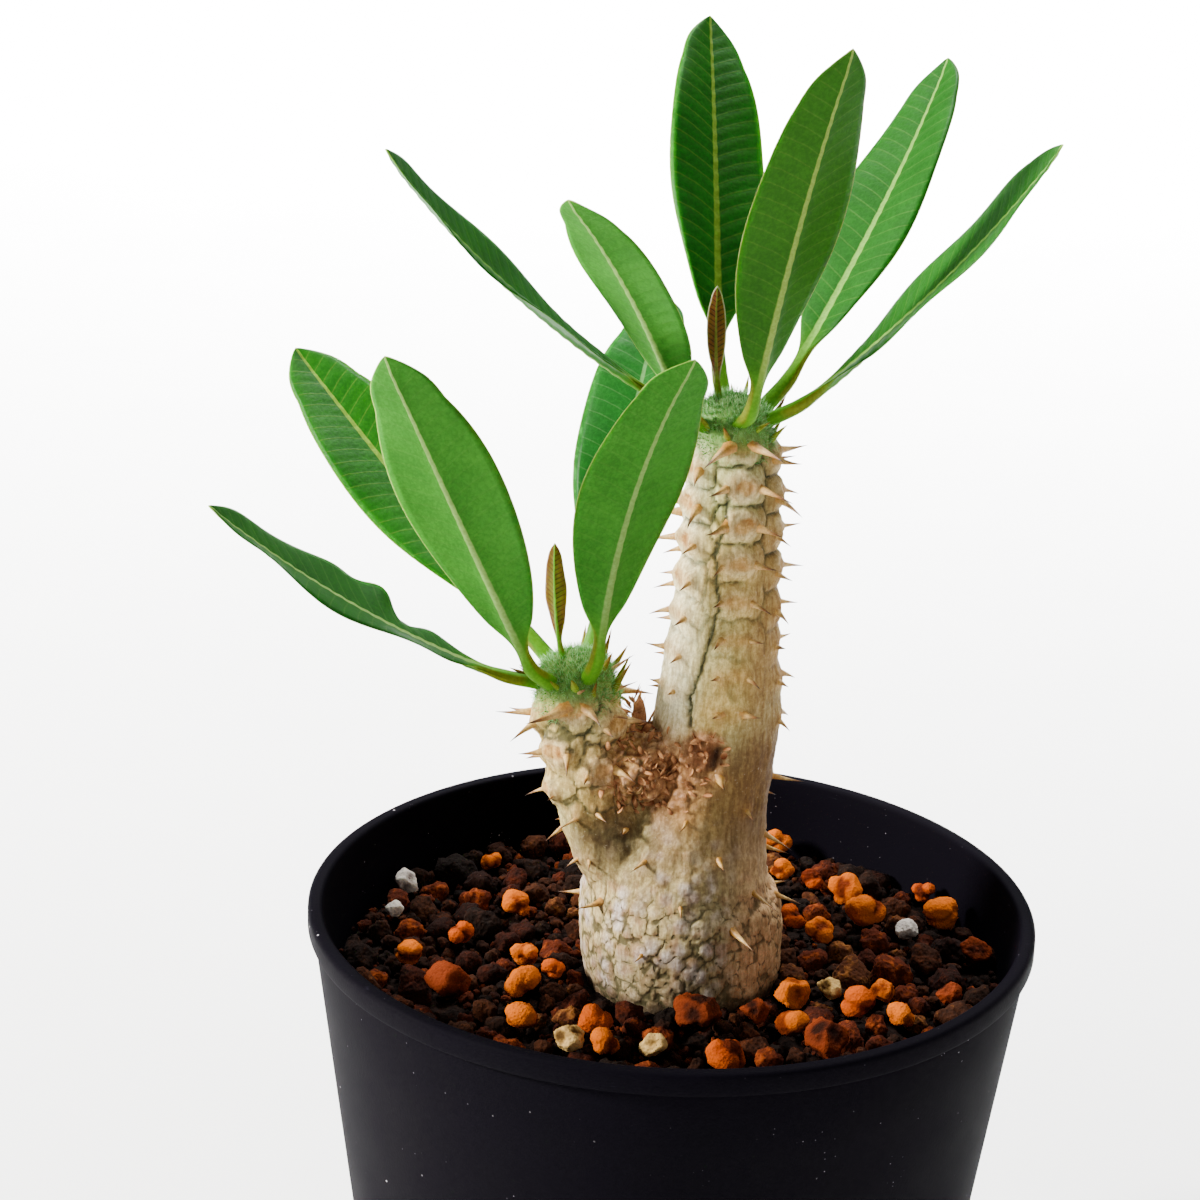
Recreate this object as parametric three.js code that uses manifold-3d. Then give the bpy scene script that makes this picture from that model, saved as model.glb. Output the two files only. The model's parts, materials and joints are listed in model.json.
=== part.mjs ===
// A potted pachypodium: a young caudex plant with two branches, thirteen leaves and paired spines,
// in a round tapered pot filled with a gritty potting mix. Millimetres and degrees, +Z up.
// The origin is the centre of the pot's base, on the surface that the pot stands on.
import * as THREE from "three";
import { mergeVertices } from "three/addons/utils/BufferGeometryUtils.js";
import Module from "manifold-3d";

const wasm = await Module();
wasm.setup();

// ---- Driving dimensions ----

const GAP = 0.3; // clearance between pieces that rest on each other

const POT = {
  height: 78,
  rimRadius: 45,
  taper: 0.131, // growth of the radius for each millimetre of height
  wall: 1.4,
  lipWidth: 1.9,
  lipHeight: 2.6,
  lipStep: 0.35, // how far the lip stands out from the wall below it
  floor: 1.8,
  recess: 1.5, // how far the floor between the feet stands off the surface
  footWidth: 3,
  padRadius: 10,
  drainHoles: 8,
  drainRadius: 3.5,
  drainRing: 19,
  notches: 4,
  notchWidth: 8,
  sides: 60,
};

const MIX = {
  depthBelowRim: 9.2,
  lump: 0.5, // height of the surface's unevenness
  lumpPitch: 7,
  sides: 40,
  rings: 9,
};

// The stem's outline, from the root's tip to the crown: height above the mix, centre x, half width
// and half depth.
const STEM = [
  [-34.8, 1, 1.6, 1.6],
  [-26.8, 1.2, 3.4, 3.4],
  [-16.8, 1.8, 5.8, 5.8],
  [-8.8, 2.2, 8.6, 8.6],
  [-3.8, 2.2, 11.2, 11.2],
  [0.7, 1.8, 12.4, 12.4],
  [6.2, 1.2, 12.7, 12.6],
  [11.7, 0.9, 12.2, 12.0],
  [16.2, 1.8, 10.2, 10.8],
  [21.2, 2.9, 8.4, 9.0],
  [27.7, 4.1, 7.4, 7.8],
  [33.2, 4.5, 7.5, 7.4],
  [38.7, 4.7, 7.2, 7.0],
  [43.7, 4.7, 6.5, 6.5],
  [53.7, 4.9, 5.7, 5.7],
  [63.7, 4.9, 5.2, 5.2],
  [70.2, 4.6, 4.9, 4.9],
];
const FOOT_SECTION = 6; // the widest section, just above the mix
const STEM_SIDES = 24;
const STEM_STATIONS = 30;

// The lower branch: centre x, y and height above the mix, then its radius.
const BRANCH = [
  [-0.5, -1, 9.2, 7.5],
  [-3.8, -1.6, 13.2, 7],
  [-6.8, -2, 17.7, 5.8],
  [-8.8, -2, 22.2, 5.4],
  [-10.6, -2, 27.7, 5.3],
  [-11.8, -2, 33.2, 5.2],
  [-12.7, -2, 38.2, 4.9],
];
const BRANCH_SIDES = 18;
const BRANCH_STATIONS = 14;

const CROWN_RISE = 4; // height of the woolly dome that closes each branch

// The dried base of an old flower stalk in the fork.
const STALK = { x: -4.6, y: -0.8, height: 28.7, radius: 1.5, length: 7.5, lean: -8 };

// Rows of spine pairs, wound round each branch. Distances run down from the crown's shoulder.
const STEM_SPINES = {
  first: 1.2,
  step: 0.92,
  count: 38,
  azimuth: 282,
  turn: -144,
  longest: 5.6,
  shortest: 2.2,
  spread: 1.5,
};
const BRANCH_SPINES = {
  first: 1.6,
  step: 1.05,
  count: 19,
  azimuth: 268,
  turn: 137.5,
  longest: 5,
  shortest: 2.6,
  spread: 1.3,
};
const BULB_SPINES = {
  lowest: 7.2, // heights above the mix
  highest: 29.2,
  count: 30,
  azimuth: 250,
  turn: 137.5,
  longest: 4.2,
  shortest: 2.4,
};
const SPINE = {
  radius: 0.62,
  root: 0.9, // length of its base inside the bark
  splay: 0.45, // how far a pair's spines lean apart
  droop: 0.15,
  uneven: 0.12,
};

// Leaves: the crown they grow from, the azimuth and drop of their seat on it, then where they head.
// heading and elevation are the blade's direction at its foot; turn and lift are added by its tip.
// facing is the azimuth that the underside looks towards.
const LEAVES = {
  lower_leaf_left: {
    crown: "lower", seat: 195, drop: 3, heading: 198, turn: 10, elevation: 25, lift: 17,
    length: 47, width: 12.5, facing: 197,
  },
  lower_leaf_back_left: {
    crown: "lower", seat: 140, drop: 1.6, heading: 148, turn: -8, elevation: 37, lift: -2,
    length: 52.5, width: 13.5, facing: 127,
  },
  lower_leaf_front_left: {
    crown: "lower", seat: 235, drop: 2.4, heading: 217, turn: -2, elevation: 64, lift: -1,
    length: 49, width: 13.5, facing: 253,
  },
  lower_leaf_front_right: {
    crown: "lower", seat: 300, drop: 2.2, heading: 319, turn: -4, elevation: 88, lift: -32,
    length: 45.5, width: 13, facing: 298,
  },
  lower_leaf_back_right: {
    crown: "lower", seat: 60, drop: 1.6, heading: 67, turn: 14, elevation: 84, lift: -54,
    length: 48, width: 13, facing: 73,
  },
  upper_leaf_left: {
    crown: "upper", seat: 180, drop: 2.6, heading: 190, turn: 32, elevation: 34, lift: 14,
    length: 50.5, width: 12, facing: 196,
  },
  upper_leaf_front_left: {
    crown: "upper", seat: 222, drop: 2.8, heading: 241, turn: -5, elevation: 58, lift: -17,
    length: 41, width: 11, facing: 238,
  },
  upper_leaf_back: {
    crown: "upper", seat: 105, drop: 1.6, heading: 95, turn: 1, elevation: 61, lift: -18,
    length: 52, width: 13, facing: 112,
  },
  upper_leaf_front: {
    crown: "upper", seat: 285, drop: 2.8, heading: 302, turn: 2, elevation: 77, lift: -12,
    length: 50, width: 13, facing: 302,
  },
  upper_leaf_back_right: {
    crown: "upper", seat: 25, drop: 2, heading: 40, turn: 28, elevation: 55, lift: -15,
    length: 51.5, width: 13, facing: 48,
  },
  upper_leaf_right: {
    crown: "upper", seat: 350, drop: 2.8, heading: 341, turn: -32, elevation: 45, lift: 5,
    length: 50.5, width: 12, facing: 348,
  },
};
const YOUNG_LEAVES = {
  lower_young_leaf: {
    crown: "lower", seat: 235, drop: 0.2, heading: 225, turn: 0, elevation: 78, lift: 12,
    length: 14.5, width: 3.6, facing: 250,
  },
  upper_young_leaf: {
    crown: "upper", seat: 200, drop: 0.2, heading: 200, turn: 0, elevation: 84, lift: 6,
    length: 13, width: 3, facing: 262,
  },
};
const BLADE = {
  thickness: 0.8,
  footShape: 0.85, // exponents of the outline towards the stalk and towards the tip
  tipShape: 0.75,
  cup: 7, // how far each half rises from the midrib
  stalkShare: 0.13, // the part of the length that is stalk
  stalkRadius: 0.95,
  youngStalkRadius: 0.48,
  bendShare: 0.1, // the part of the length that turns from the crown to the heading
  stations: 13,
};

// Loose pieces that lie on the mix: azimuth about the stem, place between the bark (0) and the pot's
// wall (1), then the radius.
const ORANGE_PELLETS = [
  [134, 0.86, 1.4], [151, 0.37, 1.8], [175, 0.50, 1.7], [187, 0.73, 1.7], [188, 0.18, 1.7],
  [200, 0.07, 1.5], [210, 0.26, 2.2], [228, 0.49, 2], [244, 0.27, 2.1],
  [252, 0.47, 1.8], [63, 0.62, 1.6], [54, 0.62, 1.5], [42, 0.61, 2.3], [28, 0.53, 2.6],
  [41, 0.20, 1.6], [24, 0.20, 1.9], [23, 0.95, 2.3], [34, 1.00, 1.5], [323, 0.10, 2.3],
  [308, 0.32, 2], [332, 0.43, 2.1], [343, 0.49, 1.6], [333, 0.66, 1.7], [282, 0.56, 2.3],
  [70, 0.99, 1.9],
];
const STRAW_PELLETS = [[243, 0.50, 1.8], [264, 0.38, 1.7], [338, 0.23, 1.6]];
const WHITE_PELLETS = [[20, 0.69, 1.5], [154, 0.98, 1.6], [165, 0.89, 1.3]];
const BROWN_LUMPS = [
  [205, 0.63, 2.9], [278, 0.12, 2.8], [308, 0.60, 2.6], [302, 0.12, 1.8],
  [5, 0.98, 2], [347, 0.82, 1.6],
];

const PELLET_FLATNESS = 0.9;

const COLOURS = {
  pot: [0x1f1c28, 0.55],
  mix: [0x3a1d0f, 0.95],
  bark: [0xb9a888, 0.85],
  leafGreen: [0x2f6f24, 0.5],
  youngLeaf: [0x6a4a22, 0.6],
  orange: [0xe0701a, 0.8],
  straw: [0x9a7a42, 0.9],
  white: [0xc4c0bc, 0.9],
  lump: [0x5a2a12, 0.95],
};

const mixLevel = POT.height - MIX.depthBelowRim;

// ---- Helpers ----

const radians = THREE.MathUtils.degToRad;
const UP = new THREE.Vector3(0, 0, 1);

function direction(azimuth, elevation) {
  const a = radians(azimuth);
  const e = radians(elevation);
  return new THREE.Vector3(Math.cos(a) * Math.cos(e), Math.sin(a) * Math.cos(e), Math.sin(e));
}

function solid(geometry) {
  const bare = geometry.index ? geometry.toNonIndexed() : geometry.clone();
  bare.deleteAttribute("normal");
  bare.deleteAttribute("uv");
  const merged = mergeVertices(bare, 1e-4);
  return new wasm.Manifold(
    new wasm.Mesh({
      numProp: 3,
      vertProperties: new Float32Array(merged.attributes.position.array),
      triVerts: new Uint32Array(merged.index.array),
    }),
  );
}

function geometryOf(body) {
  const mesh = body.getMesh();
  const points = new Float32Array(mesh.numVert * 3);
  for (let i = 0; i < mesh.numVert; i++) {
    points.set(mesh.vertProperties.subarray(i * mesh.numProp, i * mesh.numProp + 3), i * 3);
  }
  const geometry = new THREE.BufferGeometry();
  geometry.setAttribute("position", new THREE.BufferAttribute(points, 3));
  geometry.setIndex(new THREE.BufferAttribute(mesh.triVerts, 1));
  geometry.computeVertexNormals();
  return geometry;
}

// A closed skin over rings of points, with a single point at each end.
function skin(first, rings, last) {
  const points = [first, ...rings.flat(), last];
  const around = rings[0].length;
  const at = (ring, i) => 1 + ring * around + (i % around);
  const end = points.length - 1;
  const faces = [];
  for (let i = 0; i < around; i++) {
    faces.push(0, at(0, i + 1), at(0, i));
    for (let ring = 0; ring < rings.length - 1; ring++) {
      faces.push(at(ring, i), at(ring, i + 1), at(ring + 1, i + 1));
      faces.push(at(ring, i), at(ring + 1, i + 1), at(ring + 1, i));
    }
    faces.push(at(rings.length - 1, i), at(rings.length - 1, i + 1), end);
  }
  const geometry = new THREE.BufferGeometry().setFromPoints(points);
  geometry.setIndex(faces);
  return geometry;
}

// ---- Stem and branch ----

// A limb follows a smooth path through its sections, with a smoothly changing elliptical section.
function makeLimb(centres, radii) {
  const path = new THREE.CatmullRomCurve3(centres, false, "centripetal");
  path.arcLengthDivisions = 400;
  const sizes = new THREE.CatmullRomCurve3(radii);
  return { path, sizes, length: path.getLength() };
}

// The point and outward direction on a limb's bark, at a share of its length and an azimuth.
function limbPoint(limb, share, azimuth, extra = 0) {
  const t = limb.path.getUtoTmapping(share);
  const size = limb.sizes.getPoint(t);
  const tangent = limb.path.getTangent(t);
  const along = new THREE.Vector3(1, 0, 0).projectOnPlane(tangent).normalize();
  const across = new THREE.Vector3().crossVectors(tangent, along);
  const a = radians(azimuth);
  const out = along
    .multiplyScalar(Math.cos(a) * (size.x + extra))
    .addScaledVector(across, Math.sin(a) * (size.y + extra));
  return { point: limb.path.getPoint(t).add(out), out: out.clone().normalize() };
}

function crownOf(limb) {
  const centre = limb.path.getPoint(1);
  const axis = limb.path.getTangent(1);
  return { centre, axis, radius: limb.sizes.getPoint(1).x };
}

// A limb's skin: its own rings, closed by the crown's dome above and a blunt end below.
function limbGeometry(limb, sides, stations, extra = 0) {
  const ringAt = (share, scale, rise) => {
    const centre = limb.path.getPointAt(share);
    const lift = limb.path.getTangentAt(share).multiplyScalar(rise);
    return Array.from({ length: sides }, (_, i) =>
      limbPoint(limb, share, (360 * i) / sides, extra)
        .point.sub(centre)
        .multiplyScalar(scale)
        .add(centre)
        .add(lift),
    );
  };
  const rings = [];
  for (let i = 0; i <= stations; i++) {
    rings.push(ringAt(i / stations, 1, 0));
  }
  const domeSteps = 4;
  for (let i = 1; i < domeSteps; i++) {
    const a = (Math.PI / 2) * (i / domeSteps);
    rings.push(ringAt(1, Math.cos(a), (CROWN_RISE + extra) * Math.sin(a)));
  }
  const foot = limb.path.getPointAt(0).addScaledVector(limb.path.getTangentAt(0), -1 - extra);
  const apex = limb.path.getPointAt(1).addScaledVector(limb.path.getTangentAt(1), CROWN_RISE + extra);
  return skin(foot, rings, apex);
}

const stem = makeLimb(
  STEM.map(([height, x]) => new THREE.Vector3(x, 0, mixLevel + height)),
  STEM.map(([, , width, depth]) => new THREE.Vector3(width, depth, 0)),
);
const branch = makeLimb(
  BRANCH.map(([x, y, height]) => new THREE.Vector3(x, y, mixLevel + height)),
  BRANCH.map(([, , , radius]) => new THREE.Vector3(radius, radius, 0)),
);
const CROWNS = { upper: crownOf(stem), lower: crownOf(branch) };

// ---- Spines ----

function spine(root, pointing, length) {
  const cone = new THREE.ConeGeometry(SPINE.radius, length + SPINE.root, 4);
  cone.translate(0, (length - SPINE.root) / 2, 0);
  cone.applyQuaternion(
    new THREE.Quaternion().setFromUnitVectors(new THREE.Vector3(0, 1, 0), pointing),
  );
  cone.translate(root.x, root.y, root.z);
  return solid(cone);
}

// Spine pairs in a spiral down a limb: each pair spreads to both sides of a leaf scar.
function spinePairs(limb, rows) {
  const spines = [];
  for (let i = 0; i < rows.count; i++) {
    const share = 1 - (rows.first + rows.step * i) / limb.length;
    const azimuth = rows.azimuth + rows.turn * i;
    const length = THREE.MathUtils.lerp(rows.longest, rows.shortest, i / (rows.count - 1));
    const radius = limb.sizes.getPoint(limb.path.getUtoTmapping(share)).x;
    for (const side of [-1, 1]) {
      const offset = THREE.MathUtils.radToDeg((side * rows.spread) / radius);
      const { point, out } = limbPoint(limb, share, azimuth + offset);
      const sideways = new THREE.Vector3().crossVectors(UP, out).multiplyScalar(side * SPINE.splay);
      const pointing = out.clone().add(sideways).addScaledVector(UP, -SPINE.droop).normalize();
      spines.push(spine(point, pointing, length * (1 - SPINE.uneven * ((i + side) % 3))));
    }
  }
  return spines;
}

// The share of the stem's length that lies below a height above the mix.
function stemShare(height) {
  let low = 0;
  let high = 1;
  while (high - low > 1e-4) {
    const middle = (low + high) / 2;
    if (stem.path.getPointAt(middle).z < mixLevel + height) low = middle;
    else high = middle;
  }
  return low;
}

// Single spines scattered over the swollen base.
function bulbSpines() {
  const { lowest, highest, count, azimuth, turn, longest, shortest } = BULB_SPINES;
  return Array.from({ length: count }, (_, i) => {
    const height = THREE.MathUtils.lerp(lowest, highest, (i + 0.5) / count);
    const { point, out } = limbPoint(stem, stemShare(height), azimuth + turn * i);
    const pointing = out.addScaledVector(UP, -SPINE.droop).normalize();
    return spine(point, pointing, THREE.MathUtils.lerp(shortest, longest, (i % 4) / 3));
  });
}

function makeCaudex() {
  const stalk = new THREE.ConeGeometry(STALK.radius, STALK.length, 7)
    .rotateX(Math.PI / 2)
    .rotateY(radians(STALK.lean))
    .translate(STALK.x, STALK.y, mixLevel + STALK.height + STALK.length / 2);
  let body = solid(limbGeometry(stem, STEM_SIDES, STEM_STATIONS))
    .add(solid(limbGeometry(branch, BRANCH_SIDES, BRANCH_STATIONS)))
    .add(solid(stalk));
  const spines = [
    ...spinePairs(stem, STEM_SPINES),
    ...spinePairs(branch, BRANCH_SPINES),
    ...bulbSpines(),
  ];
  for (const one of spines) {
    body = body.add(one);
  }
  return body;
}

// ---- Leaves ----

const domeSag = 0.05; // how far the dome's flat facets may lie inside or outside its true curve

// Where a leaf's stalk meets the crown's dome: a point GAP off its skin, and the skin's outward side.
function leafSeat(leaf) {
  const { centre, axis, radius } = CROWNS[leaf.crown];
  const rise = CROWN_RISE - leaf.drop;
  const reach = radius * Math.sqrt(1 - (rise / CROWN_RISE) ** 2);
  const outward = direction(leaf.seat, 0).projectOnPlane(axis).normalize();
  const out = outward
    .clone()
    .multiplyScalar(reach / radius ** 2)
    .addScaledVector(axis, rise / CROWN_RISE ** 2)
    .normalize();
  const point = centre
    .clone()
    .addScaledVector(axis, rise)
    .addScaledVector(outward, reach)
    .addScaledVector(out, GAP + domeSag);
  return { point, out };
}

function bladeHalfWidth(share, width) {
  const s = THREE.MathUtils.clamp((share - BLADE.stalkShare) / (1 - BLADE.stalkShare), 0, 1);
  const foot = BLADE.footShape;
  const tip = BLADE.tipShape;
  const peak = (foot / (foot + tip)) ** foot * (tip / (foot + tip)) ** tip;
  return ((width / 2) * s ** foot * (1 - s) ** tip) / peak;
}

function leafGeometry(leaf, stalkRadius) {
  const seat = leafSeat(leaf);
  const heading = (share) =>
    seat.out
      .clone()
      .lerp(
        direction(leaf.heading + leaf.turn * share, leaf.elevation + leaf.lift * share),
        THREE.MathUtils.smoothstep(share, 0, BLADE.bendShare),
      )
      .normalize();
  const fineSteps = 4;
  const point = seat.point.clone();
  const rings = [];
  const cup = radians(BLADE.cup);
  const underside = direction(leaf.facing, 0);
  let tip = point;
  for (let i = 0; i <= BLADE.stations; i++) {
    const share = i / BLADE.stations;
    const along = heading(share);
    const upper = underside.clone().negate().projectOnPlane(along).normalize();
    const side = new THREE.Vector3().crossVectors(upper, along);
    const stalk = stalkRadius * (1 - THREE.MathUtils.smoothstep(share, 0.3, 0.9));
    const half = Math.max(bladeHalfWidth(share, leaf.width), stalk);
    const thick = Math.max((BLADE.thickness / 2) * (1 - 0.6 * share), stalk * 0.8);
    const place = (x, y) =>
      point
        .clone()
        .addScaledVector(side, x * half * Math.cos(cup))
        .addScaledVector(upper, Math.abs(x) * half * Math.sin(cup) + y * thick);
    if (i < BLADE.stations) {
      rings.push([
        place(1, 0), place(0.5, 1), place(-0.5, 1), place(-1, 0), place(-0.5, -1), place(0.5, -1),
      ]);
    }
    tip = point.clone();
    for (let step = 0; step < fineSteps; step++) {
      const middle = (i + (step + 0.5) / fineSteps) / BLADE.stations;
      point.addScaledVector(heading(middle), leaf.length / BLADE.stations / fineSteps);
    }
  }
  return skin(seat.point, rings, tip);
}

// ---- Pot ----

const potRadius = (z) => POT.rimRadius - POT.lipStep - POT.taper * (POT.height - z);
const innerRadius = (z) => Math.min(potRadius(z) - POT.wall, POT.rimRadius - POT.lipWidth);
const floorTop = POT.recess + POT.floor;

function makePot() {
  const footOuter = potRadius(0) - 0.8;
  const footInner = footOuter - POT.footWidth;
  const lipBase = POT.height - POT.lipHeight;
  const round = POT.lipWidth / 3;
  const profile = [
    [0, 0],
    [POT.padRadius, 0],
    [POT.padRadius + 0.5, POT.recess],
    [footInner - 0.5, POT.recess],
    [footInner, 0],
    [footOuter, 0],
    [potRadius(0.8), 0.8],
    [potRadius(POT.height / 2), POT.height / 2],
    [potRadius(lipBase - 0.5), lipBase - 0.5],
    [potRadius(lipBase) - 0.25, lipBase - 0.3],
    [potRadius(lipBase) - 0.25, lipBase - 0.05],
    [POT.rimRadius - 0.1, lipBase + 0.2],
    [POT.rimRadius, lipBase + 0.6],
    [POT.rimRadius, POT.height - round],
    [POT.rimRadius - round * 0.3, POT.height - round * 0.3],
    [POT.rimRadius - round, POT.height],
    [POT.rimRadius - POT.lipWidth + round, POT.height],
    [POT.rimRadius - POT.lipWidth + round * 0.3, POT.height - round * 0.3],
    [POT.rimRadius - POT.lipWidth, POT.height - round],
    [innerRadius(lipBase), lipBase],
    [innerRadius(POT.height / 2), POT.height / 2],
    [innerRadius(floorTop + 1.5), floorTop + 1.5],
    [innerRadius(floorTop) - 1.5, floorTop],
    [0, floorTop],
  ].map(([r, z]) => new THREE.Vector2(r, z));
  let body = solid(new THREE.LatheGeometry(profile, POT.sides).rotateX(Math.PI / 2));
  for (let i = 0; i < POT.drainHoles; i++) {
    const a = (2 * Math.PI * (i + 0.5)) / POT.drainHoles;
    const hole = new THREE.CylinderGeometry(POT.drainRadius, POT.drainRadius, floorTop * 2, 16)
      .rotateX(Math.PI / 2)
      .translate(POT.drainRing * Math.cos(a), POT.drainRing * Math.sin(a), floorTop);
    body = body.subtract(solid(hole));
  }
  for (let i = 0; i < POT.notches; i++) {
    const notch = new THREE.BoxGeometry(POT.footWidth * 4, POT.notchWidth, POT.recess)
      .translate(footOuter, 0, POT.recess / 2 - 0.4)
      .rotateZ((2 * Math.PI * (i + 0.5)) / POT.notches);
    body = body.subtract(solid(notch));
  }
  return body;
}

// ---- Potting mix and the loose pieces on it ----

function mixHeight(x, y) {
  const k = (2 * Math.PI) / MIX.lumpPitch;
  const waves =
    Math.sin(k * x + 1.3) * Math.cos(k * y * 0.8) + Math.sin(k * (x * 0.5 + y * 0.9) + 0.4);
  return mixLevel + (MIX.lump / 2) * waves;
}

function makeMix() {
  const bottom = floorTop + GAP;
  const profile = [
    [0, bottom],
    [innerRadius(bottom) - 1.5 - GAP, bottom],
    [innerRadius(bottom + 1.5) - GAP, bottom + 1.5],
  ];
  const edge = innerRadius(mixLevel) - 2 * GAP;
  for (let i = 0; i <= MIX.rings; i++) {
    profile.push([edge * (1 - i / MIX.rings), mixLevel]);
  }
  const lathe = new THREE.LatheGeometry(
    profile.map(([r, z]) => new THREE.Vector2(r, z)),
    MIX.sides,
  ).rotateX(Math.PI / 2);
  const places = lathe.attributes.position;
  for (let i = 0; i < places.count; i++) {
    if (places.getZ(i) > mixLevel - 1e-3) {
      places.setZ(i, mixHeight(places.getX(i), places.getY(i)));
    }
  }
  const hollow = limbGeometry(stem, STEM_SIDES, STEM_STATIONS, GAP);
  return solid(lathe).subtract(solid(hollow));
}

// Where a pellet lies: at an azimuth about the stem's foot, a share of the way to the pot's wall.
function pelletPlace([azimuth, share, radius]) {
  const [, centreX, footRadius] = STEM[FOOT_SECTION];
  const towards = direction(azimuth, 0);
  const wall = innerRadius(mixLevel) - 2 * GAP;
  const reach = -centreX * towards.x + Math.sqrt(wall ** 2 - (centreX * towards.y) ** 2);
  const nearest = footRadius + GAP + radius;
  const farthest = reach - GAP - radius;
  const away = THREE.MathUtils.lerp(nearest, farthest, share);
  return new THREE.Vector3(centreX, 0, 0).addScaledVector(towards, away);
}

// A rough pellet: a faceted ball with uneven facets, flattened a little and resting on the mix.
function pelletGeometry(pellet, index) {
  const radius = pellet[2];
  const { x, y } = pelletPlace(pellet);
  const ball = new THREE.IcosahedronGeometry(radius, 1);
  const places = ball.attributes.position;
  const p = new THREE.Vector3();
  for (let i = 0; i < places.count; i++) {
    p.fromBufferAttribute(places, i);
    const wave = Math.sin(p.x * 2.1 + index) + Math.sin(p.y * 2.7 + 2 * index) + Math.sin(p.z * 2.4);
    p.multiplyScalar(0.94 + 0.02 * wave);
    places.setXYZ(i, p.x, p.y, p.z * PELLET_FLATNESS);
  }
  let ground = -Infinity;
  for (let a = 0; a < 360; a += 30) {
    for (const reach of [0, 0.35, 0.7]) {
      const spot = direction(a, 0).multiplyScalar(radius * reach);
      const drop = radius * PELLET_FLATNESS * (1 - Math.sqrt(1 - reach ** 2));
      ground = Math.max(ground, mixHeight(x + spot.x, y + spot.y) - drop);
    }
  }
  return ball.translate(x, y, ground + GAP + radius * PELLET_FLATNESS);
}

// ---- The assembly ----

const plant = new THREE.Group();

function addMesh(name, geometry, [colour, roughness]) {
  const material = new THREE.MeshStandardMaterial({ color: colour, roughness, metalness: 0 });
  const mesh = new THREE.Mesh(geometry, material);
  mesh.name = name;
  plant.add(mesh);
}

addMesh("pot", geometryOf(makePot()), COLOURS.pot);
addMesh("potting_mix", geometryOf(makeMix()), COLOURS.mix);
addMesh("caudex", geometryOf(makeCaudex()), COLOURS.bark);
for (const [name, leaf] of Object.entries(LEAVES)) {
  addMesh(name, leafGeometry(leaf, BLADE.stalkRadius), COLOURS.leafGreen);
}
for (const [name, leaf] of Object.entries(YOUNG_LEAVES)) {
  addMesh(name, leafGeometry(leaf, BLADE.youngStalkRadius), COLOURS.youngLeaf);
}
const LOOSE = [
  ["orange_pellet", ORANGE_PELLETS, COLOURS.orange],
  ["straw_pellet", STRAW_PELLETS, COLOURS.straw],
  ["white_pellet", WHITE_PELLETS, COLOURS.white],
  ["brown_lump", BROWN_LUMPS, COLOURS.lump],
];
for (const [name, list, colour] of LOOSE) {
  list.forEach((pellet, i) => addMesh(`${name}_${i + 1}`, pelletGeometry(pellet, i), colour));
}

export default plant;
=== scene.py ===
import json
import math
import random

import bpy
import numpy as np
from mathutils import Matrix, Quaternion, Vector, noise

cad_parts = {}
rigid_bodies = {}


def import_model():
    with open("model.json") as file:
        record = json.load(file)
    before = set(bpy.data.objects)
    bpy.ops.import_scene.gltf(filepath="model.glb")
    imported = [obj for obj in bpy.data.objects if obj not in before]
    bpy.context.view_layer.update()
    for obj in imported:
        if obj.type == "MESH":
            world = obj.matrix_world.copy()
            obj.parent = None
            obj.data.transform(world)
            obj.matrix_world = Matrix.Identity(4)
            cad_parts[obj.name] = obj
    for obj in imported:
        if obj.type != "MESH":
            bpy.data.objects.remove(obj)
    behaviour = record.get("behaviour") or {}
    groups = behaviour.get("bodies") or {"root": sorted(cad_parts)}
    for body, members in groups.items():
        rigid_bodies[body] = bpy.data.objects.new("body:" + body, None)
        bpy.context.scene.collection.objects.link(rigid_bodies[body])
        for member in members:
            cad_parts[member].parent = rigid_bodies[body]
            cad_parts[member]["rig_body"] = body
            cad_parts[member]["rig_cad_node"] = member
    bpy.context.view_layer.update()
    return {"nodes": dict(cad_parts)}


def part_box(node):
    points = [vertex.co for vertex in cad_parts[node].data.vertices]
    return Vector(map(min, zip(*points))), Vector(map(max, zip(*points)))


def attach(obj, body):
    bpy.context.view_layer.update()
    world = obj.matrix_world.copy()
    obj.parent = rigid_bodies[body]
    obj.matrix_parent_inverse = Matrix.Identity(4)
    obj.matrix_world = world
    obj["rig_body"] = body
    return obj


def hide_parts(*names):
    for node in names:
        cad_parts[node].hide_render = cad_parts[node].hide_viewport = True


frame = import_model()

MM = 0.001

# Places on the plant, in millimetres, as in the CAD source.
CROWNS = {
    "upper": {"centre": (4.6, 0, 139), "axis": (-0.04, 0, 1), "radius": 4.9, "rise": 4.0},
    "lower": {"centre": (-12.7, -2, 107), "axis": (-0.18, 0, 0.98), "radius": 4.9, "rise": 4.0},
}
BARK_VOXEL = 0.00038  # in metres, the size of the bark's finest shaped detail
MIX_LUMP = 0.5  # how far the CAD surface of the mix rises over its level
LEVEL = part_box("potting_mix")[1].z / MM - MIX_LUMP
FOOT = (1.2, 0.0, 12.6)  # centre and radius of the swollen foot
DRY_HEAP = ((-4.2, -2.8, LEVEL + 28.2), (5.6, 4.6, 4.4))  # centre and half sizes
STALK_TIP = np.array((-5.2, -0.8, LEVEL + 36.2))
FORK = np.array((-3.0, -6.0, LEVEL + 28.5))
FISSURE = ((33, 1.8), (38, 1.0), (43, 2.6), (50, 4.0), (56, 3.4), (60, 4.4), (66, 4.6))  # height, x
SCAR = np.array((3.1, -7.4, LEVEL + 32.0))
SCAR_FLAP = np.array(((0.9, -7.6, LEVEL + 34.3), (4.9, -6.9, LEVEL + 33.6)))
SCAR_GAP = np.array(((4.7, -7.2, LEVEL + 32.2), (4.3, -7.4, LEVEL + 30.4)))
# Middle of the shade under the branch, which is painted dark on the bark.
BRANCH_SHADE = np.array((-7.6, -7.5, LEVEL + 20.3))
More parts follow.
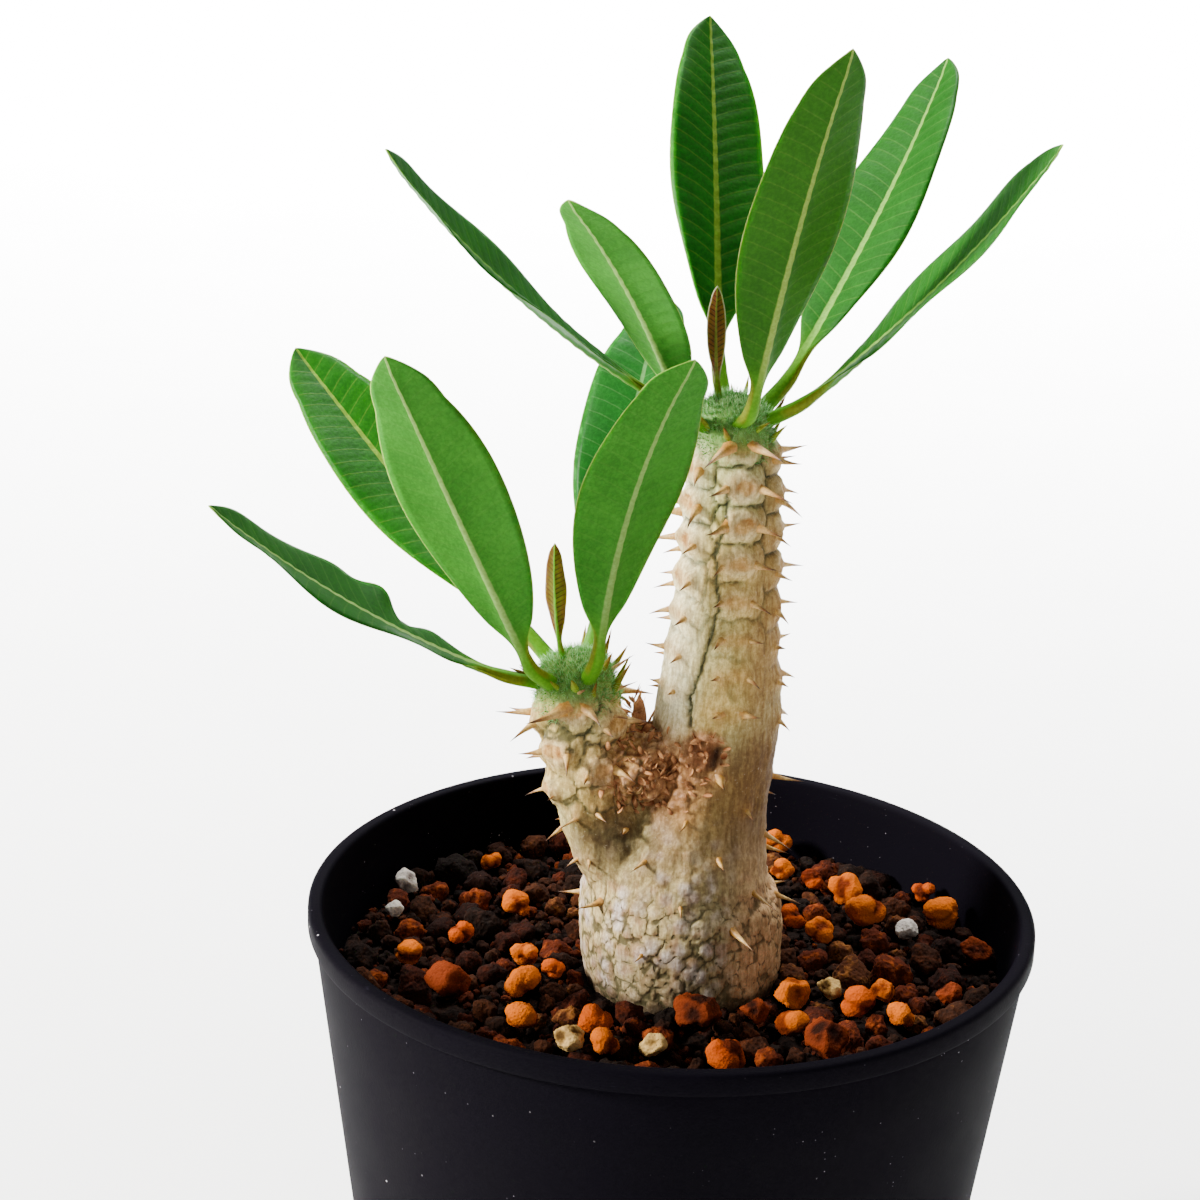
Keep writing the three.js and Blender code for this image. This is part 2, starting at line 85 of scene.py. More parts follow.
# Stout thorns at the top of the branch, as foot and tip.
THORNS = (
    ((-9.9, -2.0, 107.5), (-5.9, -2.2, 111.3)),
    ((-11.0, -0.6, 108.6), (-8.5, -0.2, 110.0)),
    ((-9.0, -3.2, 106.3), (-5.1, -3.8, 107.7)),
    ((-9.6, -5.0, 104.2), (-6.0, -6.4, 104.6)),
    ((-8.4, -3.2, 101.0), (-5.0, -4.2, 101.4)),
    ((-17.6, -2.4, 103.0), (-22.0, -3.0, 102.4)),
    ((-12.4, -6.2, 107.0), (-10.9, -7.4, 108.4)),
)
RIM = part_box("pot")[1].z / MM
POT_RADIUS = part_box("pot")[1].x / MM
TAPER = 0.131  # growth of the pot's radius for each millimetre of height
WALL = 1.4
LIP_STEP = 0.35  # how far the lip stands out from the wall below it
LEAF_PITCH = 1.9  # distance between a grown leaf's side veins


# ---- Small tools ----


def bare():
    if bpy.context.mode != "OBJECT":
        bpy.ops.object.mode_set(mode="OBJECT")
    bpy.ops.object.select_all(action="DESELECT")


def take(piece):
    bare()
    piece.select_set(True)
    bpy.context.view_layer.objects.active = piece
    return piece


def named(name):
    piece = bpy.context.active_object
    piece.name = piece.data.name = name
    return piece


def settle(piece):
    take(piece)
    bpy.ops.object.transform_apply(location=True, rotation=True, scale=True)
    return piece


def points(piece):
    """A piece's vertices in millimetres."""
    flat = np.empty(len(piece.data.vertices) * 3)
    piece.data.vertices.foreach_get("co", flat)
    return flat.reshape(-1, 3) / MM


def place(piece, spots):
    piece.data.vertices.foreach_set("co", (spots * MM).ravel())
    piece.data.update()


def outward(piece):
    flat = np.empty(len(piece.data.vertices) * 3, np.float32)
    piece.data.vertex_normals.foreach_get("vector", flat)
    return flat.reshape(-1, 3).astype(float)


def edit(piece):
    """Goes to edit mode with every vertex selected."""
    take(piece)
    bpy.ops.object.mode_set(mode="EDIT")
    bpy.ops.mesh.select_all(action="SELECT")


def held(name, data):
    """A new object in the scene that shows this mesh, lamp or camera."""
    made = bpy.data.objects.new(name, data)
    bpy.context.scene.collection.objects.link(made)
    return made


def pick(piece, chosen):
    """Selects these vertices, and nothing else, and goes to edit mode."""
    take(piece)
    mesh = piece.data
    for part in (mesh.edges, mesh.polygons):
        part.foreach_set("select", np.zeros(len(part), bool))
    mesh.vertices.foreach_set("select", np.asarray(chosen, bool))
    bpy.ops.object.mode_set(mode="EDIT")
    bpy.ops.mesh.select_mode(type="VERT")


def note(piece, name, values):
    """Writes one number, three numbers or one colour for each vertex."""
    values = np.asarray(values, np.float32)
    width = values.shape[1] if values.ndim == 2 else 1
    kinds = {1: ("FLOAT", "value"), 3: ("FLOAT_VECTOR", "vector"), 4: ("FLOAT_COLOR", "color")}
    kind, field = kinds[width]
    made = piece.data.attributes.new(name, kind, "POINT")
    made.data.foreach_set(field, values.ravel())


def sewn(piece, gap=2e-6, angle=None):
    """Closes the seams, turns the faces outwards and shades the piece smooth."""
    edit(piece)
    bpy.ops.mesh.remove_doubles(threshold=gap)
    bpy.ops.mesh.dissolve_degenerate(threshold=gap)
    bpy.ops.mesh.normals_make_consistent(inside=False)
    bpy.ops.object.mode_set(mode="OBJECT")
    if angle is None:
        bpy.ops.object.shade_smooth()
    else:
        bpy.ops.object.shade_smooth_by_angle(angle=math.radians(angle))
    return piece


def modified(piece, kind, **settings):
    take(piece)
    modifier = piece.modifiers.new(kind.lower(), kind)
    for key, value in settings.items():
        setattr(modifier, key, value)
    bpy.ops.object.modifier_apply(modifier=modifier.name)
    return piece


def smooth(x, low, high):
    t = np.clip((np.asarray(x, float) - low) / (high - low), 0, 1)
    return t * t * (3 - 2 * t)


def unit(v):
    v = np.asarray(v, float)
    return v / np.maximum(np.linalg.norm(v, axis=-1, keepdims=True), 1e-12)


def grain(spots, pitch, seed=0.0):
    """Smooth noise from about -1 to 1, with its lumps about a pitch apart."""
    return np.array([noise.noise(p) for p in (spots / pitch + seed).tolist()])


def warped(spots, far, pitch, seeds):
    """Points pushed about by noise, so that what is drawn on them wanders."""
    return spots + far * np.stack([grain(spots, pitch, seed) for seed in seeds], -1)


def patch(spots, middle, sizes, hardness):
    """One at the middle, falling off to nothing past the given half sizes."""
    return np.exp(-(np.linalg.norm((spots - middle) / sizes, axis=1) ** hardness))


def bump_at(gap, width):
    return np.exp(-((gap / width) ** 2))


def wall_outside(z):
    return POT_RADIUS - LIP_STEP - TAPER * (RIM - z)


def cells(spots, pitch, seed=0.0):
    """Distances to the nearest and the next of scattered points, in pitches."""
    found = [noise.voronoi(p)[0] for p in (spots / pitch + seed).tolist()]
    return np.array([f[:2] for f in found])


def wrapped(name, around, along, form):
    """A grid bent into a closed tube: form(u, v) gives each point, u round it and v along it."""
    bare()
    bpy.ops.mesh.primitive_grid_add(x_subdivisions=around, y_subdivisions=along, size=1)
    piece = named(name)
    flat = points(piece) * MM
    u, v = flat[:, 0] + 0.5, flat[:, 1] + 0.5
    spots, notes = form(u, v)
    place(piece, spots)
    for key, values in notes.items():
        note(piece, key, values)
    return piece


def shape_of(piece):
    """A modelled shape as plain lists, for copying; the piece itself goes."""
    mesh = piece.data
    faces = [tuple(p.vertices) for p in mesh.polygons]
    made = {"points": points(piece), "faces": faces, "along": None}
    if "along" in mesh.attributes:
        flat = np.empty(len(mesh.vertices), np.float32)
        mesh.attributes["along"].data.foreach_get("value", flat)
        made["along"] = flat
    bpy.data.objects.remove(piece)
    return made


def pattern(name, around, along, form):
    """A small closed shape one unit tall, for copying."""
    return shape_of(sewn(wrapped(name, around, along, form), 1e-8))


def thorn(name, power, flare, flat, lean):
    """A pointed shape for copying: it narrows by a power, flares at its foot and leans over."""
    def form(u, v):
        a = 2 * math.pi * u
        r = 0.05 + 0.95 * (1 - v) ** power + flare * np.clip(0.12 - v, 0, 1)
        r = np.where(v > 0.999, 0.0, r)
        spots = np.stack([r * np.cos(a), r * flat * np.sin(a) + lean * v * v, v], -1)
        return spots, {"along": v}

    return pattern(name, 7, 6, form)


def strewn(name, shapes, places):
    """One piece of many copies: each place is a shape's number, a matrix and a tone from 0 to 1."""
    spots, faces, along, tone, start = [], [], [], [], 0
    for kind, matrix, shade in places:
        shape = shapes[kind]
        m = np.array(matrix)
        spots.append(shape["points"] @ m[:3, :3].T + m[:3, 3])
        faces.extend(tuple(i + start for i in face) for face in shape["faces"])
        count = len(shape["points"])
        along.append(shape["along"] if shape["along"] is not None else np.zeros(count))
        tone.append(np.full(count, shade))
        start += count
    mesh = bpy.data.meshes.new(name)
    mesh.from_pydata((np.concatenate(spots) * MM).tolist(), [], faces)
    piece = held(name, mesh)
    note(piece, "along", np.concatenate(along))
    note(piece, "tone", np.concatenate(tone))
    take(piece)
    bpy.ops.object.shade_smooth()
    return piece


def standing(base, towards, length, width, twist=0.0):
    """A matrix that stands a shape one unit tall on a point, along a direction."""
    turn = Vector(towards).to_track_quat("Z", "Y").to_matrix().to_4x4()
    spin = Matrix.Rotation(twist, 4, "Z")
    size = Matrix.Diagonal((width, width, length, 1))
    return Matrix.Translation(Vector(base)) @ turn @ spin @ size


# ---- Finishes ----


def ink(code):
    """A colour from its six-figure code, in linear light."""
    parts = [int(code[i : i + 2], 16) / 255 for i in (0, 2, 4)]
    return (*[p / 12.92 if p <= 0.04045 else ((p + 0.055) / 1.055) ** 2.4 for p in parts], 1.0)


def operator(operation, swapped=False):
    """A method of Value that adds one Math node."""
    def apply(self, *others):
        values = (self, *others)
        return self.finish.math(operation, *(values[::-1] if swapped else values))

    return apply


class Value:
    """A socket in a finish; sums of these add the Math nodes."""

    def __init__(self, finish, socket):
        self.finish, self.socket = finish, socket

    __add__ = __radd__ = operator("ADD")
    __mul__ = __rmul__ = operator("MULTIPLY")
    __sub__, __rsub__ = operator("SUBTRACT"), operator("SUBTRACT", swapped=True)
    __truediv__, __abs__ = operator("DIVIDE"), operator("ABSOLUTE")


class Finish:
    def __init__(self, name):
        self.material = bpy.data.materials.new(name)
        self.material.use_nodes = True
        self.tree = self.material.node_tree
        self.tree.nodes.clear()

    def node(self, kind, settings=None, sockets=None, out=0):
        made = self.tree.nodes.new("ShaderNode" + kind)
        for key, value in (settings or {}).items():
            if key == "stops":
                ramp = made.color_ramp
                ramp.elements.remove(ramp.elements[1])
                ramp.elements[0].position, ramp.elements[0].color = value[0]
                for spot, shade in value[1:]:
                    ramp.elements.new(spot).color = shade
            else:
                setattr(made, key, value)
        for key, value in (sockets or {}).items():
            if isinstance(value, Value):
                self.tree.links.new(value.socket, made.inputs[key])
            else:
                made.inputs[key].default_value = value
        return None if out is None else Value(self, made.outputs[out])

    def math(self, operation, *values):
        return self.node("Math", {"operation": operation}, dict(enumerate(values)))

    def blend(self, share, a, b):
        return self.node("Mix", {"data_type": "RGBA"}, {0: share, 6: a, 7: b}, out=2)

    def coats(self, base, *layers):
        """Colours laid one over the other, each with its share."""
        for share, code in layers:
            base = self.blend(share, base, ink(code))
        return base

    def tinted(self, share, a, b):
        settings = {"data_type": "RGBA", "blend_type": "MULTIPLY"}
        return self.node("Mix", settings, {0: share, 6: a, 7: b}, out=2)

    def step(self, value, low, high):
        sockets = {"Value": value, "From Min": low, "From Max": high, "To Min": 0.0, "To Max": 1.0}
        return self.node("MapRange", {"interpolation_type": "SMOOTHSTEP"}, sockets)

    def spots(self, stretch=(1, 1, 1)):
        """Object coordinates in millimetres, stretched along the axes."""
        where = self.node("TexCoord", out="Object")
        scale = tuple(1 / (MM * s) for s in stretch)
        return self.node("VectorMath", {"operation": "MULTIPLY"}, {0: where, 1: scale})

    def grain(self, where, pitch, detail=3.0, roughness=0.55):
        sockets = {"Vector": where, "Scale": 1 / pitch, "Detail": detail, "Roughness": roughness}
        return self.node("TexNoise", None, sockets)

    def cells(self, where, pitch, feature="F1"):
        sockets = {"Vector": where, "Scale": 1 / pitch}
        return self.node("TexVoronoi", {"feature": feature}, sockets, "Distance")

    def noted(self, name, out="Fac"):
        return self.node("Attribute", {"attribute_name": name}, None, out)

    def bump(self, height, distance, strength=1.0):
        sockets = {"Height": height, "Distance": distance * MM, "Strength": strength}
        return self.node("Bump", None, sockets, out="Normal")

    def surface(self, base, rough, normal=None, **others):
        sockets = {"Base Color": base, "Roughness": rough}
        if normal:
            sockets["Normal"] = normal
        sockets.update({key.replace("_", " "): value for key, value in others.items()})
        shader = self.node("BsdfPrincipled", None, sockets, out="BSDF")
        self.node("OutputMaterial", None, {"Surface": shader}, out=None)
        return self.material


def shown(piece, material, slot, *nodes):
    """Gives a finished piece its material and its body, and hides the CAD nodes it stands for."""
    piece.data.materials.clear()
    piece.data.materials.append(material)
    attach(piece, "root")
    if nodes:
        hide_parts(*nodes)
    return piece


def pot_finish():
    f = Finish("dusty_dark_plastic")
    where = f.spots()
    cloud = f.grain(where, 9, 4)
    fine = f.grain(where, 0.35, 2)
    specks = f.step(f.cells(where, 2.2), 0.075, 0.04) * f.step(f.grain(where, 4, 2), 0.56, 0.66)
    dust = f.step(f.cells(where, 0.9), 0.11, 0.06) * f.step(f.grain(where, 6, 2, 0.6), 0.56, 0.7)
    scuffs = f.step(f.grain(f.spots((6, 6, 0.7)), 1.4, 4, 0.7), 0.66, 0.78)
    high = f.step(f.node("SeparateXYZ", None, {0: where}, out="Z"), RIM - 7, RIM)
    base = f.coats(
        f.blend(cloud, ink("030206"), ink("06040b")),
        (scuffs * high * 0.35, "302d3a"),
        (specks * 0.8, "c9c4cc"),
        (dust * 0.45, "8d8792"),
    )
    rough = 0.66 + 0.15 * cloud + 0.1 * scuffs
    return f.surface(
        base, rough, f.bump(fine + 0.6 * cloud, 0.05, 0.5),
        Specular_IOR_Level=0.03,
    )


def grit_finish(name, dark, mid, light):
    f = Finish(name)
    where = f.spots()
    pores = f.cells(where, 0.55)
    lumps = f.grain(where, 1.3, 5, 0.65)
    speck = f.step(f.cells(where, 0.42), 0.2, 0.12)
    tone = f.noted("tone")
    share = f.step(lumps * 0.75 + tone * 0.6 - 0.18, 0.2, 0.75)
    base = f.coats(
        f.blend(share, ink(dark), ink(mid)),
        (f.step(lumps + tone * 0.3, 0.72, 0.95), light),
        (f.step(pores, 0.34, 0.12) * 0.6, dark),
        (speck * f.step(lumps, 0.5, 0.62) * 0.5, light),
    )
    return f.surface(
        base, 0.95, f.bump(pores * 0.6 + lumps, 0.45, 0.9),
        Specular_IOR_Level=0.08,
    )


def pellet_finish(name, deep, mid, highlight, spotted):
    f = Finish(name)
    where = f.spots()
    body = f.grain(where, 1.6, 3)
    fine = f.grain(where, 0.3, 3, 0.7)
    height = f.noted("along")
    # Painted light: high places take the highlight colour, and low places between the knobs take
    # the deep colour as painted shade.
    base = f.blend(f.step(body * 0.5 + height * 0.7, 0.25, 0.8), ink(mid), ink(highlight))
    base = f.blend(f.step(height, 0.42, 0.08) * 0.85, base, ink(deep))
    dirt = f.step(f.grain(where, 0.7, 4, 0.7), 0.6, 0.72) * 0.55
    base = f.coats(
        base,
        (dirt, deep),
        (f.step(f.cells(where, 0.5), 0.16, 0.08) * spotted, "2a1408"),
    )
    pits = f.cells(where, 0.38)
    return f.surface(
        base, 0.8, f.bump(fine + body + pits * 0.7, 0.2, 0.8),
        Specular_IOR_Level=0.05,
    )


def bark_finish():
    """Painted colours, with streaks along the stems, pale flecks and thin dark seams."""
    f = Finish("pachypodium_bark")
    where = f.spots()
    paint = f.noted("paint", "Color")
    threads = f.grain(f.spots((1, 1, 5)), 0.5, 4, 0.65)
    flecks = f.grain(where, 0.45, 4, 0.7)
    base = f.tinted(f.step(threads, 0.62, 0.38) * 0.5, paint, ink("9c7e50"))
    base = f.tinted(f.step(flecks, 0.58, 0.4) * 0.32, base, ink("8c7648"))
    base = f.blend(f.step(flecks, 0.6, 0.78) * 0.3, base, ink("efe6cc"))
    wander = f.grain(where, 0.6, 2) * 0.08 - 0.04
    seams = f.step(f.noted("seam_gap") + wander, 0.11, 0.02)
    base = f.blend(seams * 0.66, base, ink("2e2e14"))
    lift = f.cells(where, 0.7) * 0.4 + threads * 0.6 + flecks * 0.7 - seams * 0.8
    return f.surface(
        base, 0.72, f.bump(lift, 0.16, 0.7), Specular_IOR_Level=0.2
    )


def spine_finish():
    """Horn, from a brown foot over a pale middle to a dark tip."""
    f = Finish("spine_horn")
    tip = f.noted("along") + f.noted("tone") * 0.12 - 0.06
    stops = [
        (0.0, ink("b08038")), (0.16, ink("b07c2c")), (0.42, ink("d0aa64")),
        (0.7, ink("8a5a24")), (0.92, ink("2c1608")), (1.0, ink("140a04")),
    ]
    base = f.node("ValToRGB", {"stops": stops}, {"Fac": tip}, out="Color")
    streak = f.grain(f.spots(), 0.3, 3)
    base = f.tinted(f.step(streak, 0.6, 0.4) * 0.4, base, ink("a08050"))
    return f.surface(base, 0.5, f.bump(streak, 0.05, 0.5))


def strand_finish(name, root, tip, rough=0.8):
    f = Finish(name)
    share = f.noted("along") * 0.75 + f.noted("tone") * 0.4
    base = f.blend(f.step(share, 0.1, 1.0), ink(root), ink(tip))
    streak = f.grain(f.spots(), 0.25, 3)
    base = f.tinted(f.step(streak, 0.58, 0.4) * 0.4, base, ink("a89a80"))
    return f.surface(
        base, rough, f.bump(streak, 0.04, 0.4), Specular_IOR_Level=0.1
    )


def leaf_finish(
    name, upper, under, rib, margin, vein, foot="488600", shade=None, rough=0.42,
    pitch=LEAF_PITCH, line_ink=None,
):
    """upper and under are a dark and a light colour each; vein is how much the side veins show."""
    f = Finish(name)
    spot = f.node("SeparateXYZ", None, {0: f.noted("spot", "Vector")})
    across, along, edge = (Value(f, spot.socket.node.outputs[i]) for i in range(3))
    top = f.step(f.noted("upper_side"), 0.4, 0.6)
    share = f.noted("share")
    where = f.spots()
    out = abs(across)
    cloud = f.grain(where, 5, 3)
    net = f.cells(where, 0.75, "DISTANCE_TO_EDGE")
    fine = f.grain(where, 0.4, 3, 0.6)
    ripple = f.grain(where, 3, 2) * 0.5
    turn = (along - out * 0.62 + out * out * 0.035 + ripple * 0.4 * pitch) / pitch
    line = abs(f.math("FRACT", turn) - 0.5)
    fine_leaf = pitch / LEAF_PITCH
    veins = f.step(line, 0.08 / fine_leaf**0.7, 0.01) * f.step(edge, 0.1, 0.9 * fine_leaf) * vein
    rib_half = (0.56 - 0.42 * share) * fine_leaf**0.7
    ribbed = f.step(out / rib_half, 1.25, 0.75)
    front = f.blend(cloud, ink(upper[0]), ink(upper[1]))
    front = f.blend(f.step(net, 0.1, 0.02) * 0.22, front, ink(upper[1]))
    front = f.blend(veins, front, ink(line_ink or rib))
    back = f.blend(cloud, ink(under[0]), ink(under[1]))
    back = f.blend(f.step(net, 0.12, 0.02) * 0.28, back, ink(under[0]))
    back = f.blend(veins * (1 if line_ink else 0.6), back, ink(line_ink or rib))
    base = f.blend(top, back, front)
    if shade:
        base = f.blend(f.step(edge, 1.0, 0.2) * 0.55, base, ink(shade))
    base = f.coats(
        base,
        (ribbed * 0.9, rib),
        (f.step(edge, 0.18, 0.06) * 0.6, margin),
        (f.step(share, 0.24, 0.1) * 0.88, foot),
    )
    reddened = f.step(share, 0.2, 0.12) * f.step(share, 0.015, 0.05) * f.step(edge, 0.42, 0.12)
    base = f.blend(reddened * 0.42, base, ink("7a3a1a"))
    base = f.tinted(f.step(fine, 0.62, 0.4) * 0.3, base, ink("9aa080"))
    lift = net * 0.5 + (1 - veins) * 0.8 + fine * 0.35
    rough_out = rough + (1 - top) * 0.14 + fine * 0.1
    return f.surface(
        base, rough_out, f.bump(lift, 0.1, 0.5),
        Specular_IOR_Level=0.1,
        Subsurface_Weight=0.12,
        Subsurface_Scale=0.0006,
        Subsurface_Radius=(0.5, 1.0, 0.2),
    )


# ---- Pot ----


def turned(name, profile, sides):
    """A closed body turned round the Z axis: a ring is extruded and scaled from point to point."""
    bare()
    first = profile[0]
    bpy.ops.mesh.primitive_circle_add(
        vertices=sides, radius=first[0] * MM, location=(0, 0, first[1] * MM), fill_type="NGON"
    )
    piece = settle(named(name))
    edit(piece)
    for (r0, z0), (r1, z1) in zip(profile, profile[1:]):
        bpy.ops.mesh.extrude_region_move(TRANSFORM_OT_translate={"value": (0, 0, (z1 - z0) * MM)})
        bpy.ops.transform.resize(value=(r1 / r0, r1 / r0, 1), center_override=(0, 0, z1 * MM))
    bpy.ops.object.mode_set(mode="OBJECT")
    return piece


def cut(piece, tool):
    modifier = piece.modifiers.new("cut", "BOOLEAN")
    modifier.operation, modifier.object, modifier.solver = "DIFFERENCE", tool, "EXACT"
    take(piece)
    bpy.ops.object.modifier_apply(modifier=modifier.name)
    bpy.data.objects.remove(tool)


def make_pot():
    lip, lip_foot = 1.9, RIM - 2.6  # the lip's width, and the height it starts at
    recess, floor = 1.5, 3.3  # heights of the hollow below the base and of the floor inside
    outside = wall_outside

    def inside(z):
        return min(outside(z) - WALL, POT_RADIUS - lip)

    foot = outside(0) - 0.8
    profile = [(0.4, 0), (10, 0), (10.5, recess), (foot - 3.5, recess), (foot - 3, 0.1), (foot, 0)]
    profile += [(foot + 0.35, 0.25), (outside(0.9), 0.9)]
    profile += [(outside(z), z) for z in (12, 26, 40, 54, 66)]
    groove = outside(lip_foot) - 0.16
    profile += [(outside(lip_foot - 0.9), lip_foot - 0.9), (groove, lip_foot - 0.7)]
    profile += [(groove, lip_foot - 0.4), (POT_RADIUS - 0.14, lip_foot - 0.15)]
    profile += [(POT_RADIUS, lip_foot + 0.2), (POT_RADIUS, RIM - 0.75)]
    outer, inner = 0.62, 0.55  # radii of the lip's two rounded edges
    profile += [
        (POT_RADIUS - outer + outer * math.cos(a), RIM - outer + outer * math.sin(a))
        for a in (0.3, 0.7, 1.1, math.pi / 2)
    ]
    profile += [
        (POT_RADIUS - lip + inner - inner * math.sin(a), RIM - inner + inner * math.cos(a))
        for a in (0.05, 0.5, 1.0, math.pi / 2)
    ]
    profile += [(inside(z), z) for z in (RIM - 2.4, 60, 44, 24, 6)]
    profile += [(inside(floor) - 1.6, floor), (0.4, floor)]
    piece = turned("pot_shell", profile, 192)
    drains, drain_ring, notches = 8, 19 * MM, 4
    for i in range(drains):
        a = 2 * math.pi * (i + 0.5) / drains
        bare()
        bpy.ops.mesh.primitive_cylinder_add(
            vertices=32, radius=3.5 * MM, depth=12 * MM,
            location=(drain_ring * math.cos(a), drain_ring * math.sin(a), 2 * MM),
        )
        cut(piece, named("drain"))
    for i in range(notches):
        a = 2 * math.pi * (i + 0.5) / notches
        bare()
        bpy.ops.mesh.primitive_cube_add(size=1)
        block = named("notch")
        block.scale = (12 * MM, 8 * MM, recess * MM)
        block.location = (foot * MM * math.cos(a), foot * MM * math.sin(a), 0.35 * MM)
        block.rotation_euler = (0, 0, a)
        settle(block)
        cut(piece, block)
    sewn(piece, 1e-6, 38)
    return shown(piece, pot_finish(), "pot_plastic", "pot")


# ---- Potting mix ----


def make_bed(finish):
    """The mix as one closed body, a little under the level, for the loose grit to lie on."""
    outer = wall_outside(LEVEL) - WALL - 0.5
    low, high = 3.8, LEVEL - 1.5
    brow = 0.72  # share of the grid that makes the top; the side and the underside share the rest

    def form(u, v):
        top = np.clip(v / brow, 0, 1)
        side = np.clip((v - brow) / 0.14, 0, 1)
        under = np.clip((v - 0.86) / 0.14, 0, 1)
        reach = np.where(v <= brow, outer * top, outer - (LEVEL - low) * TAPER * side)
        reach = reach * (1 - under)
        z = np.where(v <= brow, high, high - (high - low) * side)
        a = 2 * math.pi * u
        spots = np.stack([reach * np.cos(a), reach * np.sin(a), z], -1)
        lumps = grain(spots, 3.2) * 1.0 + grain(spots, 1.3, 7) * 0.5
        spots[:, 2] += np.where((v > 0) & (v < 0.71), lumps, 0)
        return spots, {"tone": np.full(len(u), 0.25), "along": v}

    piece = wrapped("grit_bed", 150, 90, form)
    sewn(piece, 2e-5)
    return shown(piece, finish, "potting_mix", "potting_mix")


def chipped(way, draw, flats, depths, edge, most):
    """How far a lump reaches each way when flats are struck off a ball."""
    facets = unit([[draw.uniform(-1, 1) for _ in range(3)] for _ in range(flats)])
    depth = np.array([draw.uniform(*depths) for _ in range(flats)])
    facing = way @ facets.T
    return np.minimum(np.where(facing > edge, depth / np.maximum(facing, edge), 9).min(1), most)


def crumb_shape(level, seed, angular):
    """A porous lump of grit one unit in radius."""
    bare()
    bpy.ops.mesh.primitive_ico_sphere_add(subdivisions=level, radius=MM)
    piece = named("crumb")
    way = unit(points(piece))
    draw = random.Random(seed)
    reach = chipped(way, draw, 12, (0.68, 0.98), 0.15, 1.15)
    knobs = grain(way, 0.55, seed * 3.1) * 0.3 + grain(way, 0.27, seed * 1.7) * 0.16
    reach = reach * angular + (1 - angular) + knobs
    stretch = np.array([draw.uniform(0.85, 1.1), draw.uniform(0.8, 1.05), draw.uniform(0.7, 0.95)])
    place(piece, way * reach[:, None] * stretch)
    return shape_of(piece)


def crumb_places(draw, count, sizes, taken, near, drop, kinds):
    """Scatters lumps over the mix, clear of what lies there already."""
    edge = wall_outside(LEVEL) - WALL - 0.4
    found = []
    for _ in range(count * 30):
        if len(found) == count:
            break
        r = sizes[0] + (sizes[1] - sizes[0]) * draw.random() ** 1.6
        a, reach = draw.uniform(0, 2 * math.pi), math.sqrt(draw.random()) * (edge - r * 0.75)
        x, y = reach * math.cos(a), reach * math.sin(a)
        if math.hypot(x - FOOT[0], y - FOOT[1]) < FOOT[2] + r * 0.35:
            continue
        if any(math.hypot(x - tx, y - ty) < (r + tr) * near for tx, ty, tr in taken):
            continue
        taken.append((x, y, r))
        z = LEVEL - drop + r * draw.uniform(0.1, 0.6)
        turn = Quaternion([draw.gauss(0, 1) for _ in range(4)]).normalized().to_matrix().to_4x4()
        matrix = Matrix.Translation((x, y, z)) @ turn @ Matrix.Scale(r, 4)
        found.append((draw.randrange(kinds), matrix, draw.random()))
    return found


LOOSE = [n for n in frame["nodes"] if "pellet" in n or "lump" in n]


def make_grit():
    finishes = {
        "dark": grit_finish("dark_grit", "090301", "220d03", "3e1b08"),
        "red": grit_finish("red_grit", "120401", "3e1403", "70300a"),
        "brown": grit_finish("brown_grit", "110602", "381a08", "683e18"),
    }
    make_bed(finishes["dark"])
    draw = random.Random(31)
    big = [crumb_shape(3, s, 0.75) for s in range(10)]
    small = [crumb_shape(2, 40 + s, 0.6) for s in range(8)]
    taken = []
    for node in LOOSE:
        low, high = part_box(node)
        x, y = (low + high).xy / 2 / MM
        taken.append((x, y, (high.x - low.x) / 2 / MM))
    crumbs = {"dark": [], "red": [], "brown": []}
    for one in crumb_places(draw, 120, (1.9, 2.9), taken, 0.86, 0.9, len(big)):
        crumbs[draw.choice(["dark", "red", "red", "brown"])].append(one)
    for one in crumb_places(draw, 260, (1.0, 1.9), taken, 0.84, 0.9, len(big)):
        crumbs[draw.choice(["dark", "dark", "red", "brown"])].append(one)
    fine = {"dark": [], "red": []}
    for one in crumb_places(draw, 1100, (0.35, 1.0), taken, 0.72, 1.0, len(small)):
        fine[draw.choice(["dark", "red"])].append(one)
    for title, shapes, groups in (("{}_crumbs", big, crumbs), ("fine_{}_grit", small, fine)):
        for key, places in groups.items():
            shown(strewn(title.format(key), shapes, places), finishes[key], "potting_mix")


